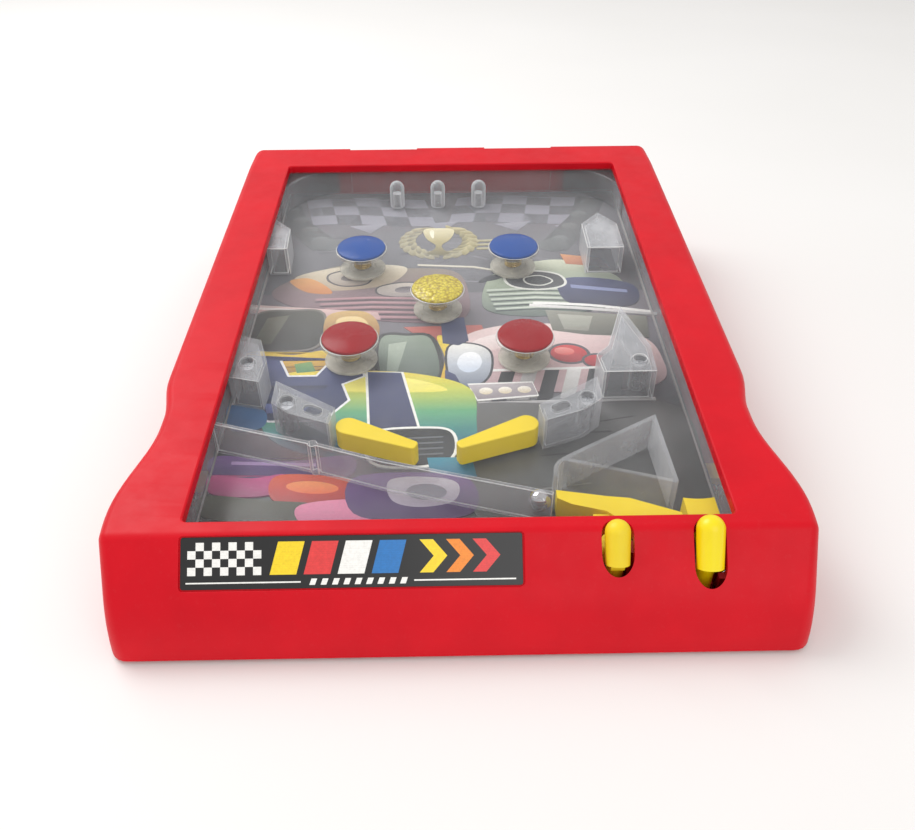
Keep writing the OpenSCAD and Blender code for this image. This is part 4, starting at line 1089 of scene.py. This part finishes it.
    # sweeping body of the front car: yellow through green to teal
    soft([(-86, -34), (-50, -30), (-18, -33), (6, -44), (9, -66), (4, -88), (-30, -92), (-66, -88),
          (-87, -70)], "F2D744", "C3CB4A", "5EA878", "2F7D86", "2B5E7C")
    soft([(-80, -38), (-48, -34), (-20, -37), (-4, -46), (-30, -47), (-60, -46), (-80, -52)], "FBEE7C",
          "E2DB5A")
    edged([(-42, -31), (-26, -32), (-17, -74), (-38, -78)], "F5F4EE", 1.3, "38406E", "2B3157")
    edged([(-102, -16), (-86, -20), (-80, -34), (-66, -34), (-60, -22), (-48, -20), (-44, -34), (-54, -40),
           (-50, -52), (-60, -66), (-84, -66), (-102, -56)], "F1F0F2", 1.4, "3E4A86", "2F3866", "27304F")
    ink([(-78, -24), (-70, -22), (-67, -30), (-76, -31)], "7FA65A", "4F8A5E")
    ink([(-92, -41), (-60, -41), (-64, -49), (-90, -50)], "1F2546", "323C6E")
    ink([(-88, -54), (-66, -54), (-69, -60), (-86, -61)], "6F7CBA", "46518A")
    soft([(-104, -55), (-88, -58), (-86, -70), (-100, -72)], "3C78B4", "265684", n=4)
    # vents and bumper of the front car
    edged(curved([(-38, -76), (-12, -73), (-2, -77), (-3, -92), (-18, -97), (-36, -94)], 5), "F4F4F0", 1.4,
           "1B1C1F", "2D2F33")
    for k in range(4):
        ink(stripe([(-34, -80 - 3.6 * k), (-6, -78.6 - 3.6 * k)], 1), "5F6368")
    ink([(-13, -92), (6, -92), (8, -104), (-11, -104)], "3A8DA4", "25607E")
    soft([(-103, -89), (-72, -93), (-46, -90), (-46, -103), (-74, -106), (-102, -101)], "8C64A8", "5C3E7C",
          "43305E", n=5)
    ink([(-96, -92.5), (-60, -94.5), (-60, -96.5), (-96, -94.5)], "C3A3D6")
    soft([(-103, -101), (-86, -103), (-72, -101), (-72, -111), (-88, -114), (-102, -111)], "D04D8E",
          "932D67", n=5)
    soft([(-76, -102), (-56, -102), (-40, -107), (-44, -117), (-62, -120), (-76, -115)], "E8623A", "C23A2C",
          "8C2427")
    ink(oval(-60, -109, 11, 3.6, -6), "F79B55", "E3683A")
    soft([(-104, -113), (-78, -116), (-55, -119), (-56, -127), (-84, -128), (-103, -124)], "4A4A36",
          "303024", n=5)
    soft([(-64, -119), (-44, -116), (-27, -118), (-28, -128), (-50, -131), (-63, -128)], "DE86A6", "B35C80",
          n=5)
    soft([(-44, -104), (-16, -101), (5, -106), (6, -124), (-18, -129), (-42, -124)], "7A4E96", "56366F",
          "3E2853", n=5)
    soft([(-28, -105), (-10, -104), (0, -108), (-2, -118), (-16, -121), (-27, -117)], "D8CED8", "A99FB0", n=5)
    ink(oval(-13, -112.5, 8.4, 4.6, -4), "6F6C78", "8F8C98")
    ink(rounded(206, 20, 2, 0, -141), "3A3A3C", "2A2A2B")
    # a pale printed line down each side of the field
    for s in (-1, 1):
        ink(stripe([(s * 103.4, -148), (s * 103.4, 158)], 0.9), "C9C7C4", "8C8A8A")
    return art.finish("artwork")


def label():
    """Sunk plate at the front with a plain racing pattern."""
    top, square = -0.42, 2.9
    body = prism("label_body", rounded(LABEL_W, LABEL_H, 1), -LABEL_SUNK, top, LABEL)
    plate = coloured(soften(body, 0.08, 1), "0B0B0D")
    art = Print(LABEL, top, 0.008)
    ink = art.ink
    for i in range(9):
        for j in range(4):
            if (i + j) % 2 == 0:
                art.layer = 0
                x, y = -58 + square * i, -4.3 + square * j
                ink([(x, y), (x + square, y), (x + square, y + square), (x, y + square)], "F4F3EF")
    for k, code in enumerate(("F6D51F", "E03A3A", "F4F3EF", "1F74BC")):
        x = -29 + 12 * k
        ink([(x, -4.3), (x + 9.4, -4.3), (x + 12.4, 7.3), (x + 3, 7.3)], code)
    for k, code in enumerate(("F6D51F", "F08A24", "E03A3A")):
        x = 24 + 9.4 * k
        ink([(x, -4.3), (x + 4.8, -4.3), (x + 9.8, 1.5), (x + 4.8, 7.3), (x, 7.3), (x + 5, 1.5)], code)
    ink(stripe([(-58.5, -6.9), (-18, -6.9)], 0.5), "F4F3EF")
    ink(stripe([(22, -6.9), (58, -6.9)], 0.5), "F4F3EF")
    for k in range(9):
        ink([(-15 + 4 * k, -8), (-13 + 4 * k, -8), (-12.2 + 4 * k, -5.8), (-14.2 + 4 * k, -5.8)], "F4F3EF")
    return joined("label_print", plate, art.finish("label_pattern"))


fit(joined("printed_card", card_blank(), artwork()), card_ink, "printed_card", "root", "artwork_card")
fit(label(), label_ink, "label", "root", "label_plate")


# ---- floor, light and camera ----

def floor_and_light():
    bpy.ops.mesh.primitive_plane_add(size=8)
    floor = bpy.context.active_object
    floor.name = "floor"
    mat, body, coord = start("pale_floor", {"Roughness": 0.6})
    cloud = add(mat, "TexNoise", {"Scale": 1 / 300, "Detail": 2}, Vector=(coord, 0))
    tint = add(mat, "ValToRGB", (), Fac=(cloud, "Fac"))
    tint.color_ramp.elements[0].color = colour("F1F0EE")
    tint.color_ramp.elements[1].color = colour("F8F7F6")
    join_to(mat, tint, 0, body, "Base Color")
    floor.data.materials.append(mat)
    world = bpy.data.worlds.new("soft_room")
    bpy.context.scene.world = world
    world.use_nodes = True
    back = world.node_tree.nodes["Background"]
    back.inputs["Color"].default_value = (1, 0.985, 0.97, 1)
    back.inputs["Strength"].default_value = 0.72
    for name, spot, size, power in (("window_light", (-0.75, 0.55, 1.15), 0.9, 11),
                                    ("front_fill", (0.5, -1.3, 0.9), 1.2, 5)):
        lamp = bpy.data.lights.new(name, "AREA")
        lamp.size, lamp.energy = size, power
        obj = bpy.data.objects.new(name, lamp)
        bpy.context.scene.collection.objects.link(obj)
        obj.location = spot
        obj.rotation_euler = (Vector((0, 0, 0.03)) - Vector(spot)).to_track_quat("-Z", "Y").to_euler()


def camera():
    lens = bpy.data.cameras.new("camera")
    lens.sensor_width, lens.lens = 36, 34.62
    lens.clip_start = 0.01
    cam = bpy.data.objects.new("camera", lens)
    bpy.context.scene.collection.objects.link(cam)
    cam.location = (-0.0030, -0.38673, 0.25417)
    cam.rotation_euler = [math.radians(a) for a in (54.894, 0.397, -0.892)]
    bpy.context.scene.camera = cam


floor_and_light()
camera()
bpy.context.scene.view_settings.view_transform = "Standard"
